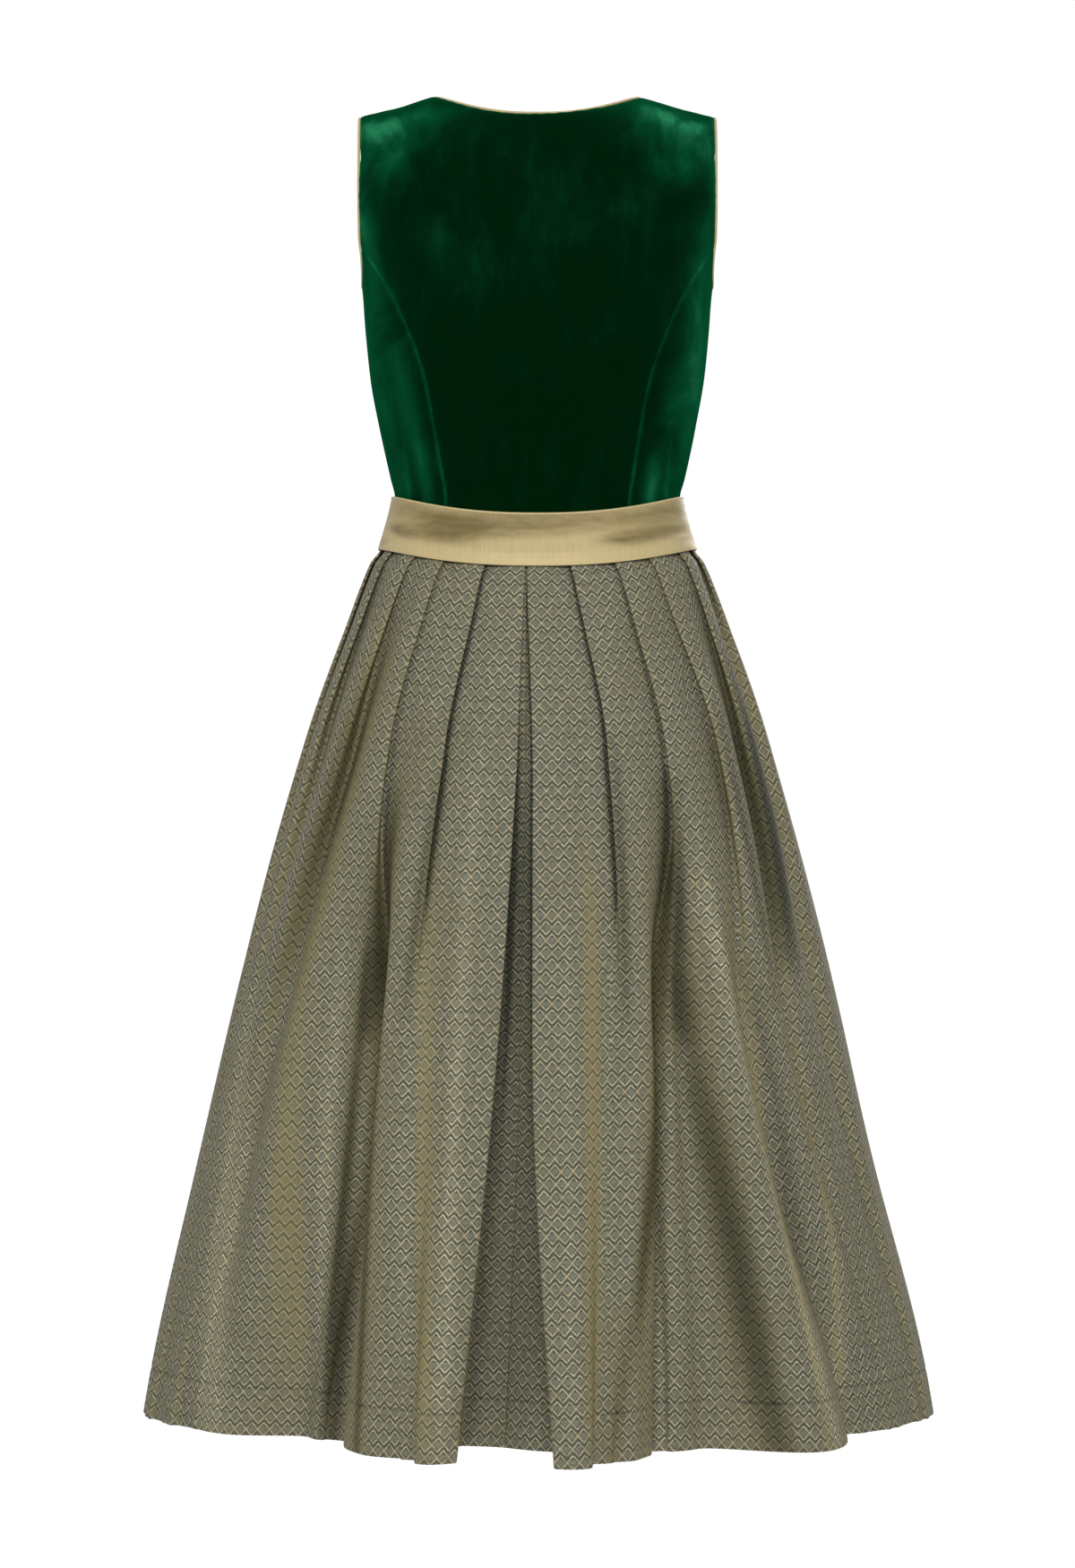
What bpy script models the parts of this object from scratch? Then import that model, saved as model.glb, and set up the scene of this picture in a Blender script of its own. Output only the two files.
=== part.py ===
"""A sleeveless dirndl dress as worn, hollow: velvet bodice, piping, satin waistband and a pleated skirt.

Metres, +Z up. The origin is midway between the shoulders, at the height of the inside of the straps.
The wearer faces +Y, so the back of the dress faces -Y, and "left" and "right" name the -X and +X sides.
Every cloth piece is a thin wall worked out from rings: a ring is a rounded oval of given half-width
and half-depth, and a place on it is an angle measured from the centre back.
"""

import math

import bpy
import numpy as np

NAME = "dirndl_dress"

# ---- driving dimensions -------------------------------------------------------------------------
SEAM_GAP = 0.0003  # between two pieces that are sewn together
VELVET = 0.0014  # wall of the bodice
SATIN = 0.0018  # wall of the waistband, two layers of satin on a stiffener
SKIRT_CLOTH = 0.0011  # wall of the skirt
PIPING_RADIUS = 0.0013
TUCK = 0.008  # bodice and skirt reach this far behind the waistband

OVAL = 2.3  # exponent of the rings at bodice and waist: 2 is an ellipse, more is squarer
SHOULDER_ROUND = 0.100  # length of cloth that rolls over to the shoulder line
ROLL_START = -0.100  # height where that roll begins
ARMHOLE_X = 0.1672  # armhole edge, out from the middle
NECK_X = 0.0985  # neck point of the strap
UNDERARM_Z = -0.172
UNDERARM_TURN = math.radians(30)  # where on its oval the armhole's bottom meets the princess seam
BACK_NECK_Z = -0.0170  # neckline at the centre back
FRONT_NECK_Z = -0.1450  # neckline at the centre front
BACK_NECK_CURVE, FRONT_NECK_CURVE = 2.2, 3.4  # exponents: how square each neckline's scoop is

# Bodice rings: height, half-width, half-depth at the back and at the front.
BODICE_RINGS = (
    (-0.430, 0.1365, 0.0880, 0.0860),
    (-0.385, 0.1345, 0.0865, 0.0860),
    (-0.368, 0.1350, 0.0870, 0.0870),
    (-0.354, 0.1385, 0.0890, 0.0900),
    (-0.343, 0.1410, 0.0900, 0.0930),
    (-0.301, 0.1500, 0.0935, 0.1040),
    (-0.259, 0.1578, 0.0975, 0.1170),
    (-0.216, 0.1622, 0.1005, 0.1240),
    (-0.174, 0.1656, 0.1020, 0.1200),
    (-0.130, 0.1745, 0.1025, 0.1080),
    (-0.090, 0.1820, 0.1015, 0.0980),
    (0.060, 0.1840, 0.1000, 0.0950),
)
# Shoulder line: distance from the middle, height.
SHOULDER_LINE = (
    (0.0000, 0.0200),
    (0.0985, 0.0083),
    (0.1270, 0.0000),
    (0.1610, -0.0080),
    (0.1700, -0.0105),
)
# Princess seams, the same on both sides: height, distance from the middle.
BACK_SEAM = (
    (-0.430, 0.0840),
    (-0.379, 0.0855),
    (-0.345, 0.0905),
    (-0.309, 0.0965),
    (-0.270, 0.1035),
    (-0.239, 0.1130),
    (-0.196, 0.1318),
    (-0.167, 0.1470),
    (-0.138, 0.1660),
)
FRONT_SEAM = (
    (-0.430, 0.0700),
    (-0.379, 0.0720),
    (-0.330, 0.0790),
    (-0.270, 0.0910),
    (-0.216, 0.1050),
    (-0.180, 0.1250),
    (-0.138, 0.1660),
)

# Waistband rings: share of the band's height down from its top edge, half-width, back and front depth.
BAND_RINGS = (
    (0.00, 0.1380, 0.0898, 0.0900),
    (0.30, 0.1412, 0.0935, 0.0930),
    (0.65, 0.1460, 0.0990, 0.0970),
    (1.00, 0.1512, 0.1050, 0.1020),
)
BAND_TOP_Z, BAND_HEIGHT = -0.3700, 0.0490  # at the side seams
BAND_DIP_BACK, BAND_DIP_FRONT = 0.0200, 0.0060  # how much lower the band lies at the middle

# Skirt rings over the folds: drop below the waistband, half-width, half-depth at back and front.
SKIRT_RINGS = (
    (-0.010, 0.1445, 0.0975, 0.0950),
    (0.000, 0.1480, 0.1015, 0.0985),
    (0.009, 0.1560, 0.1090, 0.1050),
    (0.030, 0.1655, 0.1190, 0.1140),
    (0.073, 0.1820, 0.1380, 0.1310),
    (0.115, 0.1985, 0.1560, 0.1480),
    (0.158, 0.2140, 0.1730, 0.1630),
    (0.200, 0.2270, 0.1860, 0.1760),
    (0.285, 0.2522, 0.2090, 0.1980),
    (0.412, 0.2870, 0.2400, 0.2280),
    (0.581, 0.3290, 0.2780, 0.2620),
    (0.751, 0.3730, 0.3120, 0.2920),
    (0.817, 0.3860, 0.3250, 0.3040),
)
HEM_Z = -1.236
PLEAT_LAP = 6.0  # degrees that each pleat lies under the next at the waistband
LAYER = 0.0023  # from one layer of a pressed pleat to the next
FRONT_MIDDLE = 180.0
PLEATS_A_SIDE = 11
SIDE_PLEAT = 5  # counted from 0 at the centre back: the side seam runs down the middle of this pleat

# How the pleats open, at four levels: waistband, hip, knee and hem, as shares of the skirt's length.
LEVELS = (0.00, 0.23, 0.54, 1.00)
FOLD_ROUND = (0.0, 0.015, 0.08, 0.12)  # rounding on either side of a soft fold, share of a pleat
PRESSED = (1.0, 1.2, 0.5, 0.0)  # layers between the two sides of a fold's tip
UNDER = (0.075, 0.09, 0.14, 0.16)  # how early a pleat has gone under the next, share of a pleat
SLANT = (0.25, 0.20, 0.0, 0.0)  # how far a pleat's middle has sunk towards the next valley
SUNK = (0.98, 0.85, 0.72, 0.66)  # how far down to the next valley a pleat is where it goes under
PRESSED_DIP, PRESSED_CREST = 0.25, 0.50  # places of a pressed pleat's first quarter and middle
RECESS_AT = (-2.7, -3.0, -4.0, -7.0)  # degrees: the centre back seam
RECESS_IN = (4.6, 14.0, 58.0, 118.0)  # mm: the floor of the centre back pleat, inside the ring
FIRST_FOLD, FOLD_POINTS, CREST = 2, 8, 6  # control points before the first pleat, in each, to its middle
SHARPEST = 0.8  # the sharpest fold whose wall keeps its whole thickness: 2 less, 2 is straight

# A row for each pleat from the centre back outward. "edge" is the angle of its folded edge in
# degrees, "lap" how far the valley under that edge lies beyond it in degrees (minus: the fold
# stands open), "sink" the valley's depth inside the ring. "edge_in", "dip_in" and "crest_in" are
# how far inside the ring the folded edge, the pleat's first quarter and its middle lie. All in mm.
# "dip_at" and "crest_at" are the places of those two at the hem, as shares of the pleat, and
# "round" is the share of FOLD_ROUND at the folded edge.
FOLD_COLUMNS = (
    "edge_waist edge_hip edge_knee edge_hem lap_hip lap_knee lap_hem sink_hip sink_knee sink_hem "
    "edge_in_knee edge_in_hem dip_in_knee dip_in_hem crest_in_knee crest_in_hem dip_at crest_at round"
).split()
RIGHT_FOLDS = (
    (-2.5, -1.1, -0.9, 2.2, 3.0, 2.0, 0.5, 12, 55, 96, 0, 0, 0, -6, 0, 2, 0.25, 0.50, 0.1),
    (9.5, 17.0, 16.2, 13.0, 2.5, -3.0, -4.0, 9, 10, 26, 5, 34, 5, 48, 6, 64, 0.25, 0.50, 1),
    (25.9, 33.1, 27.8, 26.0, 2.5, -3.0, -4.0, 11, 54, 84, 30, 76, 40, 92, -2, -16, 0.17, 0.37, 0.5),
    (42.0, 50.0, 46.5, 66.0, 2.0, -3.0, -4.0, 13, 18, 60, 10, 50, 9, 46, 8, 42, 0.25, 0.50, 1),
    (62.0, 62.4, 60.0, 75.0, 1.5, -3.0, -3.0, 16, 18, 38, 10, 34, 9, 31, 8, 28, 0.25, 0.50, 1),
    (79.0, 80.0, 77.0, 86.0, -5.0, -5.0, -3.0, 26, 22, 20, 6, 14, 5, 10, 4, 6, 0.25, 0.50, 1),
)
LEFT_FOLDS = (
    (2.9, 4.8, 7.0, 11.7, 3.0, 2.5, 5.0, 12, 55, 122, 2, 24, 1, 8, 2, 14, 0.25, 0.50, 0.1),
    (16.3, 23.3, 24.6, 23.5, 2.5, -3.0, -4.0, 9, 10, 34, 5, 40, 7, 52, 9, 72, 0.25, 0.50, 1),
    (33.0, 39.0, 37.0, 47.5, 2.5, -3.5, -4.0, 11, 52, 110, 30, 102, 42, 116, 6, 64, 0.25, 0.50, 0.5),
    (48.2, 55.3, 66.0, 72.0, 2.0, -3.5, -3.0, 20, 22, 50, 10, 46, 9, 42, 8, 39, 0.25, 0.50, 1),
    (66.0, 70.0, 76.0, 80.5, 1.5, -3.0, -3.0, 14, 16, 30, 8, 27, 7, 24, 6, 20, 0.25, 0.50, 1),
    (83.0, 84.0, 85.0, 88.5, 1.0, -3.0, -3.0, 12, 10, 14, 4, 10, 3, 7, 2, 4, 0.25, 0.50, 1),
)
# The five pleats on each side of the front, the same on both sides.
FRONT_FOLDS = (
    (96.0, 97.5, 98.0, 99.0, 2.0, -3.5, -3.5, 10, 24, 36, 4, 8, 6, 8, 2, 4, 0.25, 0.50, 1),
    (113.0, 114.0, 113.0, 114.0, 2.5, -3.5, -4.5, 10, 12, 20, 6, 12, 6, 10, 4, 8, 0.25, 0.50, 1),
    (129.5, 130.5, 131.0, 131.0, 2.5, -3.5, -4.5, 12, 36, 62, 6, 12, 4, 6, 0, 0, 0.25, 0.50, 1),
    (146.0, 147.5, 148.5, 149.0, 2.5, -3.5, -4.5, 10, 14, 24, 6, 12, 6, 12, 4, 8, 0.25, 0.50, 1),
    (162.5, 163.5, 165.0, 166.0, 2.5, 1.5, 1.0, 12, 40, 70, 2, 4, 2, 4, 0, 0, 0.25, 0.50, 0.3),
)

# Rows of the skirt's wall: drop below the waistband.
SKIRT_DROPS = (-0.008, 0.0, 0.012, 0.040, 0.085, 0.150, 0.235, 0.340, 0.470, 0.630, 0.797)
ANGLE_STEP, UP_STEP = 0.01, 0.00001  # short steps that measure how a surface slopes: degrees, metres
SEAM_ROWS, ARMHOLE_ROWS, UNDERARM_COLUMNS = 11, 8, 6
MIDDLE_ROWS = 9  # up the centre front; the front neckline takes the rest of the panel's rows
STRAP_COLUMNS, FRONT_COLUMNS, NECK_COLUMNS = 4, 9, 12
BAND_COLUMNS, BAND_ROWS = 28, 4  # for each half of the waistband


# ---- curves and rings ---------------------------------------------------------------------------
def smooth(x, xs, ys):
    """Values at x of the curve through (xs, ys) that is smooth and never overshoots (monotone cubic).

    xs rises. ys may have more dimensions after the first, which are all worked out together.
    """
    x, xs, ys = (np.asarray(v, float) for v in (x, xs, ys))
    more = (1,) * (ys.ndim - 1)
    step = np.diff(xs).reshape((-1,) + more)
    rise = np.diff(ys, axis=0) / step
    slope = np.zeros_like(ys)
    product, total = rise[1:] * rise[:-1], rise[1:] + rise[:-1]
    slope[1:-1] = np.where(product > 0, 2 * product / np.where(total == 0, 1, total), 0)
    slope[0], slope[-1] = rise[0], rise[-1]
    i = np.clip(np.searchsorted(xs, x, side="right") - 1, 0, len(xs) - 2)
    t = np.clip((x - xs[i]) / (xs[i + 1] - xs[i]), 0, 1).reshape(x.shape + more)
    length = step[i].reshape(x.shape + more)
    value = ys[i] * (1 + 2 * t) * (1 - t) ** 2 + ys[i + 1] * t**2 * (3 - 2 * t)
    return value + length * t * (1 - t) * (slope[i] * (1 - t) - slope[i + 1] * t)


def ring(place, rings):
    """Half-width, back depth and front depth from a table of rings, at a place in its first column."""
    rings = np.array(rings)
    return np.moveaxis(smooth(place, rings[:, 0], rings[:, 1:]), -1, 0)


def oval(angle, wide, back, front, exponent):
    """x and y of the point at an angle from the centre back (degrees) on a rounded oval."""
    s, c = np.sin(np.radians(angle)), np.cos(np.radians(angle))
    x = wide * np.sign(s) * np.abs(s) ** (2 / exponent)
    y = -np.where(c > 0, back, front) * np.sign(c) * np.abs(c) ** (2 / exponent)
    return x, y


def shoulder_z(x):
    """Height of the shoulder line at distance |x| from the middle."""
    return np.interp(np.abs(x), *np.array(SHOULDER_LINE).T)


def body(angle, h):
    """Points of the bodice at an angle from the centre back and a height h along the cloth.

    Below ROLL_START h is the real height. Above it the cloth rolls over the shoulder on a quarter
    oval: z rises with the sine and the depth shrinks with the cosine of (h - ROLL_START) / SHOULDER_ROUND.
    """
    roll = np.clip((h - ROLL_START) / SHOULDER_ROUND, 0, math.pi / 2)
    x, y = oval(angle, *ring(h, BODICE_RINGS), OVAL)
    z = np.minimum(h, ROLL_START) + (shoulder_z(x) - ROLL_START) * np.sin(roll)
    return np.stack([x, y * np.cos(roll), z], -1)


def angle_at(x, h):
    """Angle from the centre back, on the back half, of the bodice at distance x from the middle."""
    share = np.clip(np.abs(x) / ring(h, BODICE_RINGS)[0], 0, 1)
    return np.degrees(np.arcsin(share ** (OVAL / 2)))


def h_at(z, x):
    """The height along the cloth of a point of the bodice at real height z."""
    share = np.clip((z - ROLL_START) / (shoulder_z(x) - ROLL_START), 0, 1)
    return np.where(z > ROLL_START, ROLL_START + SHOULDER_ROUND * np.arcsin(share), z)


def band_edge(angle, share):
    """Height of the waistband at an angle, a share of its height down from its top edge."""
    c = np.cos(np.radians(angle))
    dip = np.where(c > 0, BAND_DIP_BACK, BAND_DIP_FRONT) * c**2
    return BAND_TOP_Z - dip - share * BAND_HEIGHT


def band(angle, rise):
    """Points of the waistband's outer face at an angle, a share of its height up from its bottom edge."""
    angle, rise = np.broadcast_arrays(angle, rise)
    x, y = oval(angle, *ring(1 - rise, BAND_RINGS), OVAL)
    return np.stack([x, y, band_edge(angle, 1 - rise)], -1)


def outward(surface, angle, up):
    """Unit vectors square to surface(angle, up), from two short steps on it."""
    across = surface(angle + ANGLE_STEP, up) - surface(angle - ANGLE_STEP, up)
    upward = surface(angle, up) - surface(angle, up - UP_STEP)
    normal = np.cross(across, upward)
    return normal / np.linalg.norm(normal, axis=-1, keepdims=True)


# ---- meshes -------------------------------------------------------------------------------------
def cells(points):
    """The numbers of a grid's points, and two triangles for each cell, cut on its shorter diagonal."""
    i = np.arange(points[..., 0].size).reshape(points.shape[:2])
    a, b, c, d = i[:-1, :-1], i[:-1, 1:], i[1:, 1:], i[1:, :-1]
    rising = np.linalg.norm(points[1:, 1:] - points[:-1, :-1], axis=-1)
    falling = np.linalg.norm(points[1:, :-1] - points[:-1, 1:], axis=-1)
    first = np.where((rising <= falling)[..., None], np.stack([a, b, c], -1), np.stack([a, b, d], -1))
    second = np.where((rising <= falling)[..., None], np.stack([a, c, d], -1), np.stack([b, c, d], -1))
    return i, np.concatenate([first.reshape(-1, 3), second.reshape(-1, 3)])


def wall_mesh(name, outer, inner):
    """A closed wall between two grids of points of the same shape, its faces turned outward.

    Both sides are cut on the same diagonals, so that the wall keeps its thickness where it twists.
    """
    i, front = cells((outer + inner) / 2)
    count = i.size
    rim = np.concatenate([i[0, :-1], i[:-1, -1], i[-1, :0:-1], i[:0:-1, 0]])
    after = np.roll(rim, -1)
    edge = np.stack([rim, rim + count, after + count, after], -1)
    mesh = bpy.data.meshes.new(name)
    points = np.concatenate([outer.reshape(-1, 3), inner.reshape(-1, 3)])
    faces = np.concatenate([front, front[:, ::-1] + count, edge[:, :3], edge[:, [0, 2, 3]]])
    mesh.from_pydata(points.tolist(), [], faces.tolist())
    return mesh


SIDES = {
    "bottom": (np.s_[0], np.s_[1]),
    "top": (np.s_[-1], np.s_[-2]),
    "left": (np.s_[:, 0], np.s_[:, 1]),
    "right": (np.s_[:, -1], np.s_[:, -2]),
}


def trim(points, *sides):
    """Pull the named sides of a grid of points in by half a seam gap."""
    trimmed = points.copy()
    for side in sides:
        edge, near = SIDES[side]
        way = points[near] - points[edge]
        trimmed[edge] += way / np.linalg.norm(way, axis=-1, keepdims=True) * SEAM_GAP / 2
    return trimmed


def add(name, data, material):
    """Put an object in the dress's collection with its material."""
    thing = bpy.data.objects.new(name, data)
    data.materials.append(material)
    bpy.data.collections[NAME].objects.link(thing)
    return thing


def add_panel(name, outer, normals, thickness, sides, material):
    """A cloth panel: its outer points, trimmed at the seams, and a wall laid inward from them."""
    outer = trim(outer, *sides)
    panel = add(name, wall_mesh(name, outer, outer - normals * thickness), material)
    panel.data.shade_smooth()


def cloth_material(name, colour, roughness):
    """A plain cloth finish."""
    material = bpy.data.materials.new(name)
    material.use_nodes = True
    surface = material.node_tree.nodes["Principled BSDF"]
    surface.inputs["Base Color"].default_value = (*colour, 1)
    surface.inputs["Roughness"].default_value = roughness
    surface.inputs["Metallic"].default_value = 0
    return material


# ---- bodice -------------------------------------------------------------------------------------
def seam_heights(bottom, top, rows=SEAM_ROWS):
    """Heights of a panel's rows along a seam: the hidden bottom edge, then from the waistband's top up."""
    return np.append(bottom, np.linspace(bottom + TUCK, top, rows - 1))


def seam_line(seam):
    """A princess seam from behind the waistband up to the armhole, as (angle, h) pairs."""
    heights, away = np.array(seam).T
    bottom = BAND_TOP_Z
    for _ in range(3):
        angle = angle_at(smooth(bottom, heights, away), bottom)
        bottom = float(band_edge(angle, 0)) - TUCK
    h = seam_heights(bottom, heights[-1])
    return np.stack([angle_at(smooth(h, heights, away), h), h], -1)


def armhole_line(seam):
    """An armhole edge from the end of a princess seam up to the shoulder line."""
    top = ROLL_START + SHOULDER_ROUND * math.pi / 2
    h = np.linspace(seam[-1][1], top, ARMHOLE_ROWS + 1)[1:]
    return np.stack([angle_at(ARMHOLE_X, h), h], -1)


def underarm_line(start):
    """The armhole's bottom from the end of a princess seam to the side seam: the last part of an oval."""
    turn = np.linspace(UNDERARM_TURN, math.pi / 2, UNDERARM_COLUMNS)
    angle = 90 - (90 - start[0]) * np.cos(turn) / np.cos(UNDERARM_TURN)
    rise = (start[1] - UNDERARM_Z) * (1 - np.sin(turn)) / (1 - np.sin(UNDERARM_TURN))
    return np.stack([angle, UNDERARM_Z + rise], -1)


def neck_line(low, curve, columns):
    """A neckline from the centre to the neck point: z rises as a power of the distance x."""
    x = NECK_X * np.sin(np.linspace(0, math.pi / 2, columns))
    z = low + (shoulder_z(NECK_X) - low) * (x / NECK_X) ** curve
    h = h_at(z, x)
    return np.stack([angle_at(x, h), h], -1)


def strap_line(columns):
    """The shoulder seam from the neck point, left out, to the armhole."""
    x = np.linspace(NECK_X, ARMHOLE_X, columns)[1:]
    h = np.full_like(x, ROLL_START + SHOULDER_ROUND * math.pi / 2)
    return np.stack([angle_at(x, h), h], -1)


def waist_line(start, end, count):
    """The bodice's bottom edge, hidden behind the waistband."""
    angle = np.linspace(start, end, count)
    return np.stack([angle, band_edge(angle, 0) - TUCK], -1)


def mirrored(line):
    """A line of (angle, h) pairs on the other side of the centre back."""
    return line * (-1, 1)


def to_front(line):
    """A line of (angle, h) pairs moved from the back half to the front half."""
    return line * (-1, 1) + (180, 0)


def patch(bottom, top, left, right):
    """Angles and heights of the bodice between four edge curves (a Coons patch).

    It is the blend from left to right plus the blend from bottom to top, less the blend of the corners.
    """
    u = np.linspace(0, 1, len(bottom))[None, :, None]
    v = np.linspace(0, 1, len(left))[:, None, None]
    across = (1 - u) * left[:, None] + u * right[:, None]
    upward = (1 - v) * bottom[None] + v * top[None]
    corners = (1 - v) * ((1 - u) * bottom[0] + u * bottom[-1]) + v * ((1 - u) * top[0] + u * top[-1])
    return across + upward - corners


def other_side(vectors):
    """A grid of points or normals on the other side of the middle, with its columns turned round."""
    return vectors[:, ::-1] * (-1, 1, 1)


def bodice_patches():
    """The back centre panel and the three panels of the right side, as grids of (angle, h) pairs."""
    back_seam, front_seam = seam_line(BACK_SEAM), seam_line(FRONT_SEAM)
    armhole = armhole_line(back_seam)
    right = np.concatenate([back_seam, armhole])
    neck = neck_line(BACK_NECK_Z, BACK_NECK_CURVE, NECK_COLUMNS)
    half_top = np.concatenate([neck, strap_line(STRAP_COLUMNS + 1)])
    top = np.concatenate([mirrored(half_top)[:0:-1], half_top])
    bottom = waist_line(-right[0][0], right[0][0], len(top))
    back_centre = patch(bottom, top, mirrored(right), right)

    top = underarm_line(back_seam[-1])
    side_seam = np.stack([np.full(SEAM_ROWS, 90.0), seam_heights(BAND_TOP_Z - TUCK, UNDERARM_Z)], -1)
    bottom = waist_line(back_seam[0][0], 90, len(top))
    back_side = patch(bottom, top, back_seam, side_seam)

    front_edge = to_front(front_seam)
    top = to_front(underarm_line(front_seam[-1]))[::-1]
    bottom = waist_line(90, front_edge[0][0], len(top))
    front_side = patch(bottom, top, side_seam, front_edge)

    left = to_front(np.concatenate([front_seam, armhole_line(front_seam)]))
    neck = neck_line(FRONT_NECK_Z, FRONT_NECK_CURVE, len(left) - MIDDLE_ROWS + 1)
    top = to_front(np.concatenate([neck[-1:], strap_line(FRONT_COLUMNS)]))[::-1]
    bottom = waist_line(left[0][0], FRONT_MIDDLE, FRONT_COLUMNS)
    rise = seam_heights(bottom[-1][1], FRONT_NECK_Z, MIDDLE_ROWS)
    middle = np.stack([np.full(MIDDLE_ROWS, FRONT_MIDDLE), rise], -1)
    right = np.concatenate([middle, to_front(neck)[1:]])
    front_centre = patch(bottom, top, left, right)
    return {
        "back_centre": back_centre,
        "back_side": back_side,
        "front_side": front_side,
        "front_centre": front_centre,
    }


def edge_cord(edge, near):
    """The middle line of piping along a panel's edge, clear of it; near is the panel's next row of points."""
    along = np.gradient(edge, axis=0)
    along /= np.linalg.norm(along, axis=-1, keepdims=True)
    way = edge - near
    way -= (way * along).sum(-1, keepdims=True) * along
    way /= np.linalg.norm(way, axis=-1, keepdims=True)
    out = np.cross(along, way)
    out *= np.sign((out * (edge - np.array([0, 0, ROLL_START * 2]))).sum(-1, keepdims=True))
    return edge + way * (PIPING_RADIUS + 2 * SEAM_GAP) - out * VELVET / 2


def add_piping(name, path, closed, material):
    """A round cord along a path."""
    curve = bpy.data.curves.new(name, "CURVE")
    curve.dimensions = "3D"
    curve.bevel_depth = PIPING_RADIUS
    curve.bevel_resolution = 1
    curve.use_fill_caps = not closed
    line = curve.splines.new("POLY")
    line.points.add(len(path) - 1)
    line.points.foreach_set("co", np.pad(path, ((0, 0), (0, 1)), constant_values=1).ravel())
    line.use_cyclic_u = closed
    add(name, curve, material)


def build_bodice(velvet, piping):
    grids = {}
    for name, place in bodice_patches().items():
        points = grids[name] = body(place[..., 0], place[..., 1])
        normals = outward(body, place[..., 0], place[..., 1])
        sides = ("left", "right", "top") if name.endswith("centre") else ("left", "right")
        if name == "back_centre":
            add_panel(name, points, normals, VELVET, sides, velvet)
            continue
        add_panel(f"{name}_right", points, normals, VELVET, sides, velvet)
        add_panel(f"{name}_left", other_side(points), other_side(normals), VELVET, sides, velvet)

    back, side, front_side, front = grids.values()
    armhole = np.concatenate(
        [
            edge_cord(side[-1, 1:], side[-2, 1:])[::-1],
            edge_cord(back[SEAM_ROWS:, -1], back[SEAM_ROWS:, -2]),
            edge_cord(front[SEAM_ROWS:-1, 0], front[SEAM_ROWS:-1, 1])[::-1],
            edge_cord(front_side[-1, 1:-1], front_side[-2, 1:-1])[::-1],
        ]
    )
    add_piping("armhole_piping_right", armhole, True, piping)
    add_piping("armhole_piping_left", armhole * (-1, 1, 1), True, piping)
    neck = slice(STRAP_COLUMNS, -STRAP_COLUMNS)
    front_neck = edge_cord(front[MIDDLE_ROWS - 1 : -1, -1], front[MIDDLE_ROWS - 1 : -1, -2])
    front_neck[0, 0] = max(front_neck[0, 0], SEAM_GAP)
    path = np.concatenate([front_neck, edge_cord(back[-1, neck], back[-2, neck])[::-1]])
    add_piping("neck_piping", np.concatenate([path, front_neck[::-1] * (-1, 1, 1)]), False, piping)


# ---- waistband ----------------------------------------------------------------------------------
def build_waistband(satin):
    rise = np.linspace(0, 1, BAND_ROWS)[:, None]
    for name, start in (("waistband_back", -90), ("waistband_front", 90)):
        angle = np.linspace(start, start + 180, BAND_COLUMNS)[None]
        add_panel(name, band(angle, rise), outward(band, angle, rise), SATIN, ("left", "right"), satin)


# ---- skirt --------------------------------------------------------------------------------------
def half_controls(folds, direction):
    """Control points of one half of the pleated section, outward from the centre back.

    They come as angles in degrees and depths inside the ring in metres, at each of the four levels.
    Each pleat gives eight: two round the valley under its folded edge, one on the way back, two round
    the edge, one at its first quarter, one at its middle, and one where it has gone under the next.
    """
    columns = dict(zip(FOLD_COLUMNS, np.array(folds + FRONT_FOLDS, float).T))
    zero = np.zeros(PLEATS_A_SIDE)

    def levels(name, waist_value=0):
        named = [columns.get(f"{name}_{level}", zero) for level in ("hip", "knee", "hem")]
        return np.stack([columns.get(f"{name}_waist", zero + waist_value), *named])

    edge = levels("edge")
    lap = levels("lap", PLEAT_LAP)
    sink = levels("sink", 2000 * LAYER) / 1000
    edge_in, dip_in, crest_in = (levels(name) / 1000 for name in ("edge_in", "dip_in", "crest_in"))
    after = np.concatenate([edge[:, 1:], 2 * FRONT_MIDDLE - edge[:, -1:]], 1)
    next_sink = np.concatenate([sink[:, 1:], zero[:4, None]], 1)
    next_valley = np.concatenate([(edge + lap)[:, 1:], after[:, -1:]], 1)
    width = after - edge
    shares = (FOLD_ROUND, PRESSED, UNDER, SLANT, SUNK)
    turn, pressed, under, slant, sunk = (np.array(v)[:, None] for v in shares)
    turn_edge = turn * width * columns["round"]
    valley, turn = edge + lap, turn * np.minimum(width, np.roll(width, 1, 1))
    low = [(valley - turn, sink), (valley + turn, sink - pressed * LAYER)]
    tip = [(edge - turn_edge, edge_in + pressed * LAYER), (edge + turn_edge, edge_in)]
    back = [((low[1][0] + tip[0][0]) / 2, (low[1][1] + tip[0][1]) / 2)]
    opened = np.array(LEVELS)[:, None]
    dip_at = PRESSED_DIP + (columns["dip_at"] - PRESSED_DIP) * opened
    crest_at = PRESSED_CREST + (columns["crest_at"] - PRESSED_CREST) * opened
    dip = [(edge + dip_at * width, dip_in)]
    crest = [(edge + crest_at * width, crest_in + slant * next_sink)]
    deep = sunk * next_sink + (1 - sunk) * crest_in
    tuck = [(np.minimum(after, next_valley) - under * width, deep)]
    points = np.stack([np.stack(p, -1) for p in low + back + tip + dip + crest + tuck], 2)
    points = points.reshape(len(LEVELS), -1, 2)[:, :-1]  # the last pleat goes on across the front
    return points * (direction, 1)


def skirt_controls():
    """Control points all round, starting at the centre back seam and going by the right side."""
    right, left = half_controls(RIGHT_FOLDS, 1), half_controls(LEFT_FOLDS, -1)
    seam = np.stack([np.array(RECESS_AT), np.array(RECESS_IN) / 1000], -1)[:, None]
    floor_right, floor_left = (0.5 * seam + 0.5 * half[:, :1] for half in (right, left))
    left = left + (360, 0)
    left_seam = floor_left + (360, 0)
    return np.concatenate([seam, floor_right, right, left[:, ::-1], left_seam], 1)


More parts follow.
